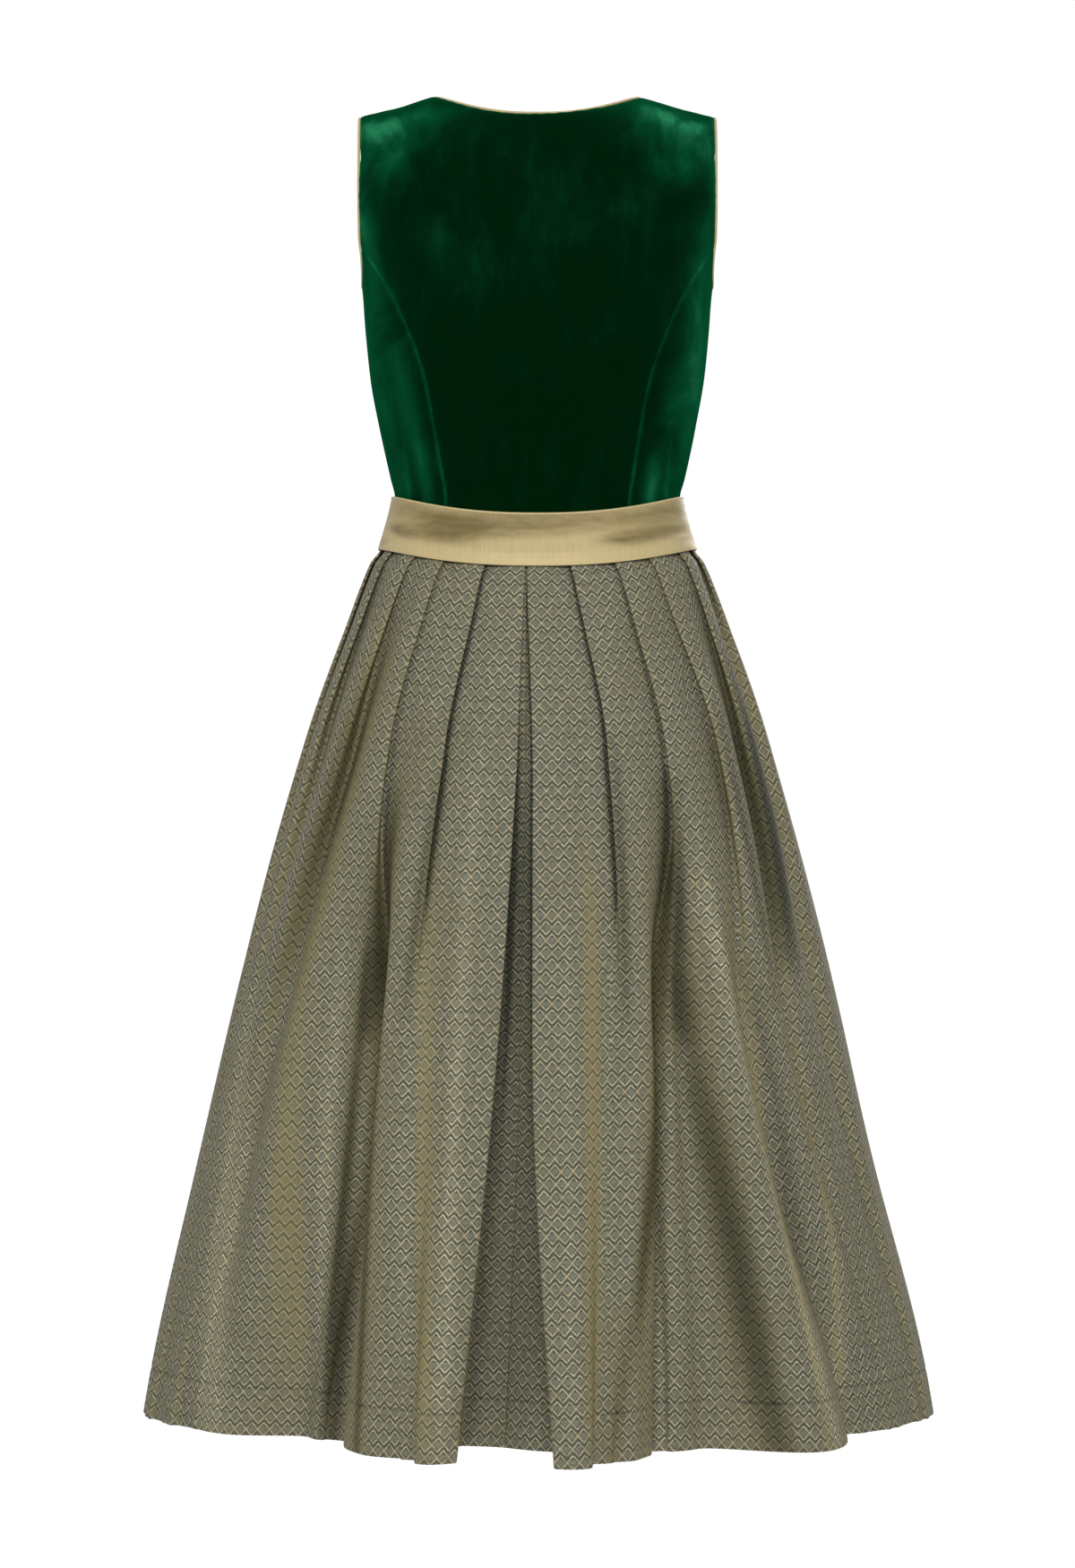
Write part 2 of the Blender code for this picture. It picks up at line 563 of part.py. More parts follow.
def skirt_section(drop, controls):
    """x, y and z of the control points at a drop below the waistband: levels blended, set on the ring."""
    share = np.clip(drop / SKIRT_DROPS[-1], 0, 1)
    place = smooth(share, np.array(LEVELS), controls)
    angle, inside = place[..., 0], place[..., 1]
    exponent = 2 + (OVAL - 2) * (1 - np.clip(share / LEVELS[1], 0, 1))
    x, y = oval(angle, *ring(np.float64(drop), SKIRT_RINGS), exponent)
    scale = 1 - inside / np.hypot(x, y)
    top = band_edge(angle, 1)
    z = top + drop / SKIRT_DROPS[-1] * (HEM_Z - top) if drop > 0 else top - drop
    return np.stack([x * scale, y * scale, z], -1)


def spline_points(controls):
    """Points of the closed cubic B-spline at its knots: one sixth, four sixths, one sixth."""
    return (np.roll(controls, 1, 1) + 4 * controls + np.roll(controls, -1, 1)) / 6


def wall_offsets(points):
    """Level vectors from the middle of the wall to its outer face, lengthened where a fold turns."""
    before = points - np.roll(points, 1, 1)
    after = np.roll(points, -1, 1) - points
    normals = []
    for edge in (before, after):
        normal = np.stack([edge[..., 1], -edge[..., 0]], -1)
        normals.append(normal / np.linalg.norm(normal, axis=-1, keepdims=True))
    total = normals[0] + normals[1]
    length = (total**2).sum(-1, keepdims=True)
    offset = total / np.maximum(length, SHARPEST) * SKIRT_CLOTH
    return np.concatenate([offset, np.zeros_like(offset[..., :1])], -1)


def build_skirt(jacquard):
    controls = skirt_controls()
    points = spline_points(np.stack([skirt_section(drop, controls) for drop in SKIRT_DROPS[::-1]]))
    offsets = wall_offsets(points)
    side = FIRST_FOLD + FOLD_POINTS * SIDE_PLEAT + CREST
    count = points.shape[1]
    ranges = {
        "skirt_back_right": range(0, side + 1),
        "skirt_front": range(side, count - side + 2),
        "skirt_back_left": range(count - side + 1, count + 1),
    }
    for name, columns in ranges.items():
        columns = np.array(columns) % count
        middle, offset = points[:, columns], offsets[:, columns]
        outer, inner = (trim(middle + sign * offset, "left", "right") for sign in (1, -1))
        panel = add(name, wall_mesh(name, outer, inner), jacquard)
        panel.data.shade_smooth()


def main():
    for thing in list(bpy.data.objects):
        bpy.data.objects.remove(thing)
    bpy.context.scene.collection.children.link(bpy.data.collections.new(NAME))
    velvet = cloth_material("green_velvet", (0.005, 0.045, 0.020), 0.85)
    satin = cloth_material("beige_satin", (0.42, 0.36, 0.20), 0.40)
    jacquard = cloth_material("jacquard", (0.16, 0.15, 0.10), 0.80)
    piping = cloth_material("beige_piping", (0.42, 0.35, 0.20), 0.60)
    build_bodice(velvet, piping)
    build_waistband(satin)
    build_skirt(jacquard)


main()
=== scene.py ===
import math

import bpy
import numpy as np
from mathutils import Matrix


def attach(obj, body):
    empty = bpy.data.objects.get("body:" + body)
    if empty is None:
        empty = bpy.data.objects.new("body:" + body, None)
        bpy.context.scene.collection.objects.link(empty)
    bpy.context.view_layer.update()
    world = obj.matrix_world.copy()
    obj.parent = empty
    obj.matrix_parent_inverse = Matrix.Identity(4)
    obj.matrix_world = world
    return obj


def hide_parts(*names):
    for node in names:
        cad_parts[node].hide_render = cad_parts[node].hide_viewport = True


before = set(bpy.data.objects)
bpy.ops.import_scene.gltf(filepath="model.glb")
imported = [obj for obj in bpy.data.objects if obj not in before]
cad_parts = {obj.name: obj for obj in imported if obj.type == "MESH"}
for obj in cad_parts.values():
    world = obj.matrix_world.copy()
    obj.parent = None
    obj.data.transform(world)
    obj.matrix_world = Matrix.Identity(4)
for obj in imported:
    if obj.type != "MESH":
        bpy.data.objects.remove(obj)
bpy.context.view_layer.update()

# ---- the dress's own sizes: metres, +Z up, the back faces -Y, angles from the centre back in degrees ----
QUARTER, TURN = math.pi / 2, 2 * math.pi  # of a circle, in radians
VELVET_THICK, SATIN_THICK, SKIRT_THICK = 0.0014, 0.0018, 0.0011
PIPING_RADIUS, PIPING_OVERLAP = 0.0013, 0.0003  # and how far it overlaps a panel's edge
TUCK = 0.008  # cloth hidden behind the waistband
OVAL = 2.3  # exponent of the bodice's and waist's rounded ovals
SHOULDER_ROUND, ROLL_START = 0.1, -0.1
STRAP_TOP = ROLL_START + SHOULDER_ROUND * QUARTER  # height of the shoulder line along the cloth
ARMHOLE_X, NECK_X = 0.1672, 0.0985
UNDERARM_Z, UNDERARM_TURN = -0.172, math.radians(30)
BACK_NECK_Z, FRONT_NECK_Z = -0.017, -0.145
BACK_NECK_CURVE, FRONT_NECK_CURVE = 2.2, 3.4

# Bodice rings in mm: height, half-width, half-depth at the back and at the front.
BODICE_RINGS = (
    (-430, 136.5, 88, 86), (-385, 134.5, 86.5, 86), (-368, 135, 87, 87), (-354, 138.5, 89, 90),
    (-343, 141, 90, 93), (-301, 150, 93.5, 104), (-259, 157.8, 97.5, 117), (-216, 162.2, 100.5, 124),
    (-174, 165.6, 102, 120), (-130, 174.5, 102.5, 108), (-90, 182, 101.5, 98), (60, 184, 100, 95),
)
# Shoulder line in mm: distance from the middle, height.
SHOULDER_LINE = ((0, 20), (98.5, 8.3), (127, 0), (161, -8), (170, -10.5))
# Princess seams in mm: height, distance from the middle.
BACK_SEAM = (
    (-430, 84), (-379, 85.5), (-345, 90.5), (-309, 96.5), (-270, 103.5), (-239, 113), (-196, 131.8),
    (-167, 147), (-138, 166),
)
FRONT_SEAM = ((-430, 70), (-379, 72), (-330, 79), (-270, 91), (-216, 105), (-180, 125), (-138, 166))
# Waistband rings: thousandths of its height down from the top edge, half-width, back and front depth in mm.
BAND_RINGS = ((0, 138, 89.8, 90), (300, 141.2, 93.5, 93), (650, 146, 99, 97), (1000, 151.2, 105, 102))
BAND_TOP_Z, BAND_HEIGHT = -0.37, 0.049
BAND_DIP_BACK, BAND_DIP_FRONT = 0.02, 0.006

# Skirt rings over the folds in mm: drop below the waistband, half-width, half-depth at back and front.
SKIRT_RINGS = (
    (-10, 144.5, 97.5, 95), (0, 148, 101.5, 98.5), (9, 156, 109, 105), (30, 165.5, 119, 114),
    (73, 182, 138, 131), (115, 198.5, 156, 148), (158, 214, 173, 163), (200, 227, 186, 176),
    (285, 252.2, 209, 198), (412, 287, 240, 228), (581, 329, 278, 262), (751, 373, 312, 292),
    (817, 386, 325, 304),
)
HEM_Z, HEM_DROP = -1.236, 0.797
PLEAT_LAP, LAYER = 6.0, 0.0023
FRONT_MIDDLE = 180.0
PLEATS_A_SIDE, SIDE_PLEAT = 11, 5
LEVELS = (0.0, 0.23, 0.54, 1.0)  # waistband, hip, knee and hem
FOLD_ROUND = (0.0, 0.015, 0.08, 0.12)  # at these levels, how round the folds are, as a share of their width,
PRESSED = (1.0, 1.2, 0.5, 0.0)  # how far they are pressed flat, in layers,
UNDER = (0.075, 0.09, 0.14, 0.16)  # how far each goes under the next, as a share of its width,
SLANT = (0.25, 0.2, 0.0, 0.0)  # how far its middle sinks with the next valley,
SUNK = (0.98, 0.85, 0.72, 0.66)  # and how far its last part does
PRESSED_DIP, PRESSED_CREST = 0.25, 0.5  # first quarter and middle at the waistband
RECESS_AT = (-2.7, -3.0, -4.0, -7.0)  # angle of the centre back seam at the levels,
RECESS_IN = (4.6, 14.0, 58.0, 118.0)  # and how far in it lies, in mm
FIRST_FOLD, FOLD_POINTS, TIP, CREST = 2, 8, 3, 6  # numbers of control points: see half_controls

# A row for each pleat from the centre back outward: angles of its folded edge, how far the valley under it
# lies beyond it, the valley's depth, how far in the edge, first quarter and middle lie (mm), how round the
# edge is, and where the first quarter and the middle lie as shares of its width.
FOLD_COLUMNS = (
    "edge_waist edge_hip edge_knee edge_hem lap_hip lap_knee lap_hem sink_hip sink_knee sink_hem "
    "edge_in_knee edge_in_hem dip_in_knee dip_in_hem crest_in_knee crest_in_hem round dip_at crest_at"
).split()
USUAL_FOLD = (1, 0.25, 0.5)  # the last three, where a row leaves them out
ALWAYS_GIVEN = len(FOLD_COLUMNS) - len(USUAL_FOLD)
RIGHT_FOLDS = (
    (-2.5, -1.1, -0.9, 2.2, 3, 2, 0.5, 12, 55, 96, 0, 0, 0, -6, 0, 2, 0.1),
    (9.5, 17, 16.2, 13, 2.5, -3, -4, 9, 10, 26, 5, 34, 5, 48, 6, 64),
    (25.9, 33.1, 27.8, 26, 2.5, -3, -4, 11, 54, 84, 30, 76, 40, 92, -2, -16, 0.5, 0.17, 0.37),
    (42, 50, 46.5, 66, 2, -3, -4, 13, 18, 60, 10, 50, 9, 46, 8, 42),
    (62, 62.4, 60, 75, 1.5, -3, -3, 16, 18, 38, 10, 34, 9, 31, 8, 28),
    (79, 80, 77, 86, -5, -5, -3, 26, 22, 20, 6, 14, 5, 10, 4, 6),
)
LEFT_FOLDS = (
    (2.9, 4.8, 7, 11.7, 3, 2.5, 5, 12, 55, 122, 2, 24, 1, 8, 2, 14, 0.1),
    (16.3, 23.3, 24.6, 23.5, 2.5, -3, -4, 9, 10, 34, 5, 40, 7, 52, 9, 72),
    (33, 39, 37, 47.5, 2.5, -3.5, -4, 11, 52, 110, 30, 102, 42, 116, 6, 64, 0.5),
    (48.2, 55.3, 66, 72, 2, -3.5, -3, 20, 22, 50, 10, 46, 9, 42, 8, 39),
    (66, 70, 76, 80.5, 1.5, -3, -3, 14, 16, 30, 8, 27, 7, 24, 6, 20),
    (83, 84, 85, 88.5, 1, -3, -3, 12, 10, 14, 4, 10, 3, 7, 2, 4),
)
FRONT_FOLDS = (
    (96, 97.5, 98, 99, 2, -3.5, -3.5, 10, 24, 36, 4, 8, 6, 8, 2, 4),
    (113, 114, 113, 114, 2.5, -3.5, -4.5, 10, 12, 20, 6, 12, 6, 10, 4, 8),
    (129.5, 130.5, 131, 131, 2.5, -3.5, -4.5, 12, 36, 62, 6, 12, 4, 6, 0, 0),
    (146, 147.5, 148.5, 149, 2.5, -3.5, -4.5, 10, 14, 24, 6, 12, 6, 12, 4, 8),
    (162.5, 163.5, 165, 166, 2.5, 1.5, 1, 12, 40, 70, 2, 4, 2, 4, 0, 0, 0.3),
)

# ---- creases that the solids leave out ----
# Soft creases in the skirt: start angle and drop below the band, end angle and drop, depth (minus: a ridge)
# and half-width; lengths in mm. The hidden front has ones like the back's.
SKIRT_CREASES = (
    (11, 30, 14, 420, 1.6, 9), (20, 60, 19, 560, -1.8, 12), (30, 90, 24, 300, 1.6, 8),
    (38, 180, 33, 640, 2.6, 16), (44, 300, 47, 780, -2.4, 15), (55, 60, 57, 420, 1.6, 10),
    (-10, 40, -15, 390, 1.5, 9), (-19, 300, -17, 760, 2, 13), (-29, 60, -30, 360, 1.7, 9),
    (-36, 430, -41, 800, 2.8, 16), (-45, 250, -54, 740, -2.2, 14), (-58, 80, -66, 520, 1.8, 11),
    (-72, 400, -76, 800, 1.6, 12), (72, 240, 71, 760, 1.8, 12), (104, 120, 106, 640, 1.8, 11),
    (-108, 260, -105, 780, 2.2, 12), (121, 300, 123, 800, 2, 13), (-120, 50, -122, 430, 1.5, 9),
    (138, 60, 140, 420, 1.6, 9), (-141, 300, -139, 790, 2.2, 14), (156, 330, 157, 800, 1.9, 12),
    (-155, 100, -156, 560, 1.7, 11), (173, 350, 175, 800, 2.2, 16), (-176, 150, -174, 600, 1.6, 12),
)
# Soft creases in the velvet: start angle and height, end angle and height, depth, half-width; lengths in mm.
VELVET_CREASES = (
    (72, -52, 44, -40, 1.7, 9), (-72, -50, -42, -36, 1.9, 9), (70, -115, 50, -145, 1.3, 9),
    (-70, -108, -47, -150, 1.4, 10), (50, -376, 47, -325, 1.2, 5), (-50, -374, -45, -322, 1.3, 5),
    (64, -380, 58, -300, 1.5, 7), (-64, -380, -57, -290, 1.6, 7), (24, -388, 20, -335, 0.9, 7),
    (-27, -388, -22, -330, 1, 7), (6, -390, 4, -350, 0.7, 8), (-30, -290, -12, -270, 0.8, 12),
    (12, -255, 34, -270, 0.8, 12), (112, -376, 118, -320, 1.3, 7), (-112, -376, -119, -316, 1.3, 7),
    (150, -374, 152, -330, 1, 7), (-153, -374, -150, -326, 1, 7), (112, -150, 134, -175, 1.4, 10),
    (-112, -150, -136, -172, 1.4, 10),
)
# Painted sheen, where the pile lies the other way and catches the light: angle, height in mm,
# half-width in degrees, half-height in mm, how light.
PAINTED_PILE_SHEEN = (
    (-56, -12, 20, 30, 0.7), (-34, -6, 16, 18, 0.55), (-46, -55, 16, 30, 0.35), (-66, -105, 9, 60, 0.5),
    (54, -14, 22, 30, 0.8), (33, -4, 16, 18, 0.6), (48, -56, 15, 30, 0.35), (66, -110, 9, 65, 0.45),
    (-64, -205, 11, 40, 0.34), (-52, -280, 8, 60, 0.26), (-69, -300, 9, 70, 0.4),
    (-47, -365, 5, 50, 0.42), (-62, -375, 4, 40, 0.3), (64, -215, 12, 50, 0.38), (55, -300, 9, 60, 0.26),
    (70, -300, 9, 70, 0.4), (49, -370, 5, 45, 0.42), (62, -378, 4, 40, 0.3), (-20, -120, 22, 60, 0.12),
    (22, -110, 20, 60, 0.1), (122, -30, 14, 24, 0.8), (-124, -34, 13, 22, 0.9), (128, -210, 12, 40, 0.4),
    (-130, -200, 13, 40, 0.4), (124, -330, 8, 50, 0.4), (-121, -320, 9, 50, 0.4),
)
# Creases across the satin band: start angle, start rise, end angle, end rise (shares of the band's
# height from its bottom edge), depth in mm (minus: a ridge), half-width as a share of the height.
SATIN_CREASES = (
    (-78, 0.38, -50, 0.3, 1.2, 0.07), (-46, 0.36, -20, 0.54, 1.3, 0.08), (-18, 0.6, 22, 0.72, 0.7, 0.1),
    (16, 0.46, 42, 0.5, 1, 0.07), (38, 0.42, 80, 0.36, 1.4, 0.08), (-60, 0.68, -8, 0.8, 0.6, 0.09),
    (-74, 0.12, -56, 0.22, 0.45, 0.1), (20, 0.82, 70, 0.74, 0.7, 0.08), (-30, 0.2, 30, 0.24, -0.8, 0.14),
    (60, 0.14, 84, 0.2, 0.6, 0.09), (98, 0.4, 140, 0.34, 1.2, 0.08), (136, 0.5, 176, 0.58, 1.1, 0.08),
    (172, 0.38, 222, 0.44, 1, 0.07), (218, 0.56, 262, 0.4, 1.3, 0.08), (120, 0.76, 190, 0.82, 0.6, 0.09),
    (200, 0.16, 250, 0.22, 0.8, 0.1),
)
# Painted shade, where the satin turns away from the light: angle, rise, half-width in degrees,
# half-height as a share of the band's height, how dark.
SATIN_PAINTED_SHADES = (
    (-62, 0.42, 14, 0.14, 0.66), (-36, 0.46, 19, 0.19, 0.72), (-24, 0.68, 18, 0.17, 0.55),
    (33, 0.42, 12, 0.15, 0.66), (56, 0.42, 22, 0.18, 0.6), (2, 0.84, 36, 0.26, 0.85),
    (-58, 0.84, 34, 0.26, 0.6), (60, 0.82, 32, 0.26, 0.62), (-76, 0.16, 8, 0.09, 0.4),
    (118, 0.4, 22, 0.2, 0.42), (152, 0.52, 20, 0.19, 0.42), (188, 0.42, 20, 0.19, 0.4),
    (228, 0.46, 22, 0.2, 0.42), (176, 0.8, 50, 0.12, 0.45),
)
# Strips down the skirt of painted sheen, shade and light, where the weave is painted as turned from the
# light,
# or darker or lighter: start angle and drop, end angle and drop, half-width, how far turned, how dark;
# lengths in mm.
PAINTED_LIGHT_STRIPS = (
    (-57.5, 80, -70, 480, 8, 0.45, 0.6), (-56, 40, -56, 380, 27, 0.6, 0.15),
    (-76, 380, -68, 920, 26, -0.55, -0.85), (-58.5, 240, -57, 780, 12, 0.8, 0.1),
    (-49.5, 330, -53.5, 820, 10, -0.5, -0.65), (-40.7, 200, -42, 440, 13, 0.6, 0.9),
    (-42, 350, -52.5, 940, 12, 0.6, 1), (-40.5, 470, -43, 920, 7, -0.45, -0.7),
    (-35, 420, -34.5, 940, 8, 0.4, 0.8), (-28, 180, -29.5, 430, 7, 0.2, 0.65),
    (-28.5, 240, -16.5, 860, 9, 0.85, 0), (-27.5, 420, -23.5, 880, 9, -0.3, -0.35),
    (-17.5, 140, -15.5, 950, 10, -0.35, -0.6), (6.5, 260, 5, 950, 8, -0.3, -0.3),
    (13.5, 230, 9, 790, 8, 0.85, -0.15), (22.5, 140, 19, 450, 7, 0.2, 0.65),
    (19.5, 420, 15.5, 900, 9, -0.3, -0.3), (38.5, 190, 35, 440, 13, 0.6, 0.95),
    (32, 330, 12, 820, 12, 0.7, 0.9), (30.5, 430, 26, 860, 8, -0.35, -0.55),
    (35.5, 370, 46.5, 940, 11, 0.4, 0.9), (40.5, 220, 55.5, 960, 12, -0.5, -0.95),
    (48.5, 260, 50, 930, 5, 0.85, -0.1), (48.5, 310, 61, 860, 13, 0.1, 0.5),
    (57.5, 120, 56.5, 420, 7, 0.3, 0.6), (60, 360, 65.5, 860, 7, 0.85, -0.15),
    (64, 520, 64, 920, 14, -0.3, -0.4), (75, 50, 64, 390, 18, 0.4, 1.2),
)
# The hidden front has similar strips, a little shorter and further apart.
FRONT_PAINTED_STRIPS = tuple(
    (181 - 0.95 * start, top + 15, 179 - 0.97 * end, bottom - 10, *rest)
    for start, top, end, bottom, *rest in PAINTED_LIGHT_STRIPS
)
# Slow unevenness of hanging cloth: waves as (turns round, turns down the length, phase, height in mm).
SKIRT_WAVES = ((5, 1.3, 0.4, 0.9), (9, 2.1, 2.2, 0.6), (14, 3.4, 4.0, 0.4), (23, 1.7, 1.1, 0.35))
VELVET_WAVES = ((3, 2.3, 0.7, 0.5), (7, 3.1, 2.6, 0.35), (11, 1.4, 4.4, 0.3))

HEM_FOLD = 0.042  # the hem is turned up this far
HEM_STITCH = 0.008  # from one hem stitch to the next
SEAM_ROLL, SEAM_ROLL_WIDTH = 0.0007, 0.003  # how far cloth rolls in beside a seam, and over what width
# Painted highlight of the pile along a seam: how light, how wide, from one fainter place to the next, how
# faint.
SEAM_HIGHLIGHT, SEAM_HIGHLIGHT_WIDE, SEAM_PUCKER, SEAM_FADES = 0.3, 0.002, 0.019, 0.12
SMOOTH_WAIST = 0.012  # the velvet's creases grow to their depth over this height above the waistband
BAND_EDGE_RADIUS = 0.0013  # the rolled top edge of the waistband
PIPING_TWIST, BAND_EDGE_TWIST = 0.6, 0.3  # metres round for each metre along, as the bias lies


# ---- curves and rings ----
def smooth(x, xs, ys):
    """Values at x of the monotone cubic through (xs, ys): slopes are the harmonic means of the chords'."""
    x, xs, ys = (np.asarray(v, float) for v in (x, xs, ys))
    more = (1,) * (ys.ndim - 1)
    step = np.diff(xs).reshape((-1,) + more)
    rise = np.diff(ys, axis=0) / step
    slope = np.zeros_like(ys)
    product, total = rise[1:] * rise[:-1], rise[1:] + rise[:-1]
    slope[1:-1] = np.where(product > 0, 2 * product / np.where(total == 0, 1, total), 0)
    slope[0], slope[-1] = rise[0], rise[-1]
    i = np.clip(np.searchsorted(xs, x, side="right") - 1, 0, len(xs) - 2)
    t = between(x, xs[i], xs[i + 1]).reshape(x.shape + more)
    length = step[i].reshape(x.shape + more)
    value = ys[i] * (1 + 2 * t) * (1 - t) ** 2 + ys[i + 1] * t**2 * (3 - 2 * t)
    return value + length * t * (1 - t) * (slope[i] * (1 - t) - slope[i + 1] * t)


def ring(place, rings):
    """Half-width, back depth and front depth from a table of rings, at a place in its first column."""
    rings = np.array(rings) / 1000
    return np.moveaxis(smooth(place, rings[:, 0], rings[:, 1:]), -1, 0)


def oval(angle, wide, back, front, exponent):
    """A rounded oval: x = wide * sin^(2/e), y = -depth * cos^(2/e), each with the sign of its base."""
    s, c = np.sin(np.radians(angle)), np.cos(np.radians(angle))
    x = wide * np.sign(s) * np.abs(s) ** (2 / exponent)
    y = -np.where(c > 0, back, front) * np.sign(c) * np.abs(c) ** (2 / exponent)
    return x, y


def shoulder_z(x):
    """Height of the shoulder line at distance |x| from the middle."""
    return np.interp(np.abs(x), *np.array(SHOULDER_LINE).T / 1000)


def body(angle, h):
    """The bodice: an oval at each height; above ROLL_START z rises with the sine and the depth shrinks
    with the cosine of (h - ROLL_START) / SHOULDER_ROUND, so the cloth rolls over the shoulder."""
    roll = np.clip((h - ROLL_START) / SHOULDER_ROUND, 0, QUARTER)
    x, y = oval(angle, *ring(h, BODICE_RINGS), OVAL)
    z = np.minimum(h, ROLL_START) + (shoulder_z(x) - ROLL_START) * np.sin(roll)
    return join(x, y * np.cos(roll), z)


def angle_at(x, h):
    """Angle of the bodice at distance x from the middle: arcsin of (x / half-width) ^ (e / 2)."""
    share = np.clip(np.abs(x) / ring(h, BODICE_RINGS)[0], 0, 1)
    return np.degrees(np.arcsin(share ** (OVAL / 2)))


def h_at(z, x):
    """The height along the cloth of a point of the bodice at real height z, the roll undone."""
    share = between(z, ROLL_START, shoulder_z(x))
    return np.where(z > ROLL_START, ROLL_START + SHOULDER_ROUND * np.arcsin(share), z)


def band_edge(angle, share):
    """Height of the waistband at a share of its height down; its top edge dips with cos^2 of the angle."""
    c = np.cos(np.radians(angle))
    dip = np.where(c > 0, BAND_DIP_BACK, BAND_DIP_FRONT) * c**2
    return BAND_TOP_Z - dip - share * BAND_HEIGHT


def band(angle, rise):
    """The waistband's outer face: an oval that widens downward, at a share of the height from the bottom."""
    x, y = oval(angle, *ring(1 - np.asarray(rise), BAND_RINGS), OVAL)
    return join(x, y, band_edge(angle, 1 - rise))


def join(*axes):
    """Numbers joined along a new last axis; any of them can be one number for all."""
    return np.stack(np.broadcast_arrays(*axes), -1)


def unit(vectors):
    """Vectors divided by their lengths."""
    return vectors / np.maximum(np.linalg.norm(vectors, axis=-1, keepdims=True), 1e-12)


def outward(surface, angle, up, step=0.01, rise=0.00001):
    """Unit vectors square to surface(angle, up): the cross product of two short steps on it."""
    across = surface(angle + step, up) - surface(angle - step, up)
    return unit(np.cross(across, surface(angle, up) - surface(angle, up - rise)))


def between(x, low, high):
    """The share of the way from low to high: 0 below low, 1 above high."""
    return np.clip((x - low) / (high - low), 0, 1)


def bump(distance):
    """A soft crease's profile: exp(-distance^2), 1 in the middle and 0 far out."""
    return np.exp(-(distance**2))


def crease(a, b, start, end, half_width):
    """Soft trough along the straight line from start to end in the plane (a, b), tapered at both ends.

    t runs along the line from 0 to 1; the depth is bump(distance / half-width) * sin(pi t).
    """
    start, end = np.array(start), np.array(end)
    way = end - start
    t = np.clip(((a - start[0]) * way[0] + (b - start[1]) * way[1]) / (way @ way), 0, 1)
    away = np.hypot(a - start[0] - t * way[0], b - start[1] - t * way[1])
    return bump(away / half_width) * np.sin(math.pi * t)


def waves(turn, down, table):
    """The sum of slow sines: height * sin(turns * angle + waves * down + phase), heights in mm."""
    total = 0
    for turns, downs, phase, high in table:
        total = total + high / 1000 * np.sin(turns * turn + TURN * downs * down + phase)
    return total


def patches(angle, up, table):
    """The sum of soft patches: how much * bump(distance in half-widths)."""
    total = 0
    for middle, height, wide, high, much in table:
        away = (angle - middle + 180) % 360 - 180
        total = total + much * bump(np.hypot(away / wide, (up - height) / high))
    return total


# ---- meshes ----
def grid_faces(points):
    """A grid's numbers, and two triangles for each cell, cut on the shorter diagonal."""
    i = np.arange(points[..., 0].size).reshape(points.shape[:2])
    a, b, c, d = i[:-1, :-1], i[:-1, 1:], i[1:, 1:], i[1:, :-1]
    rising = np.linalg.norm(points[1:, 1:] - points[:-1, :-1], axis=-1)
    falling = np.linalg.norm(points[1:, :-1] - points[:-1, 1:], axis=-1)
    short = (rising <= falling)[..., None]
    first = np.where(short, join(a, b, c), join(a, b, d))
    second = np.where(short, join(a, c, d), join(b, c, d))
    return i, np.concatenate([first.reshape(-1, 3), second.reshape(-1, 3)])


def mesh_of(name, points, faces, uv=None, marks=None):
    """A smooth-shaded object from points and triangles, with UV in metres for each face's corners and
    named numbers for each point, which its material reads."""
    mesh = bpy.data.meshes.new(name)
    mesh.vertices.add(len(points))
    mesh.vertices.foreach_set("co", np.ascontiguousarray(points, np.float32).ravel())
    mesh.loops.add(faces.size)
    mesh.loops.foreach_set("vertex_index", faces.astype(np.int32).ravel())
    mesh.polygons.add(len(faces))
    mesh.polygons.foreach_set("loop_start", np.arange(0, faces.size, 3, dtype=np.int32))
    mesh.update(calc_edges=True)
    if uv is not None:
        layer = mesh.uv_layers.new(name="cloth")
        layer.data.foreach_set("uv", np.ascontiguousarray(uv, np.float32).ravel())
    for mark, numbers in (marks or {}).items():
        layer = mesh.attributes.new(mark, "FLOAT", "POINT")
        layer.data.foreach_set("value", np.ascontiguousarray(numbers, np.float32).ravel())
    mesh.shade_smooth()
    mesh.validate()
    thing = bpy.data.objects.new(name, mesh)
    bpy.context.scene.collection.objects.link(thing)
    return thing


def shell(name, outer, normals, thick, cloth, marks, after=None):
    """A closed cloth wall: outer points, inner points a thickness behind them, and a rim round both.

    cloth gives each point's UV. Where the cloth jumps from one column to the next, as it does in the
    bottom of a pleat, after gives the UV that the cells after a column take.
    """
    inner = outer - normals * thick
    i, front = grid_faces((outer + inner) / 2)
    rim = np.concatenate([i[0, :-1], i[:-1, -1], i[-1, :0:-1], i[:0:-1, 0]])
    turned = np.roll(rim, -1)
    edge = join(rim, rim + i.size, turned + i.size, turned)
    faces = np.concatenate([front, front[:, ::-1] + i.size, halves(edge)])
    points = np.concatenate([outer.reshape(-1, 3), inner.reshape(-1, 3)])
    before, after = (v.reshape(-1, 2) for v in (cloth, cloth if after is None else after))
    number = faces % i.size
    first = number % i.shape[1] == (number % i.shape[1]).min(1, keepdims=True)
    uv = np.where(first[..., None], after[number], before[number])
    return mesh_of(name, points, faces, uv, {mark: np.tile(v.ravel(), 2) for mark, v in marks.items()})


def halves(cells):
    """The two triangles of each four-cornered cell."""
    return np.concatenate([cells[..., corners].reshape(-1, 3) for corners in ([0, 1, 2], [0, 2, 3])])


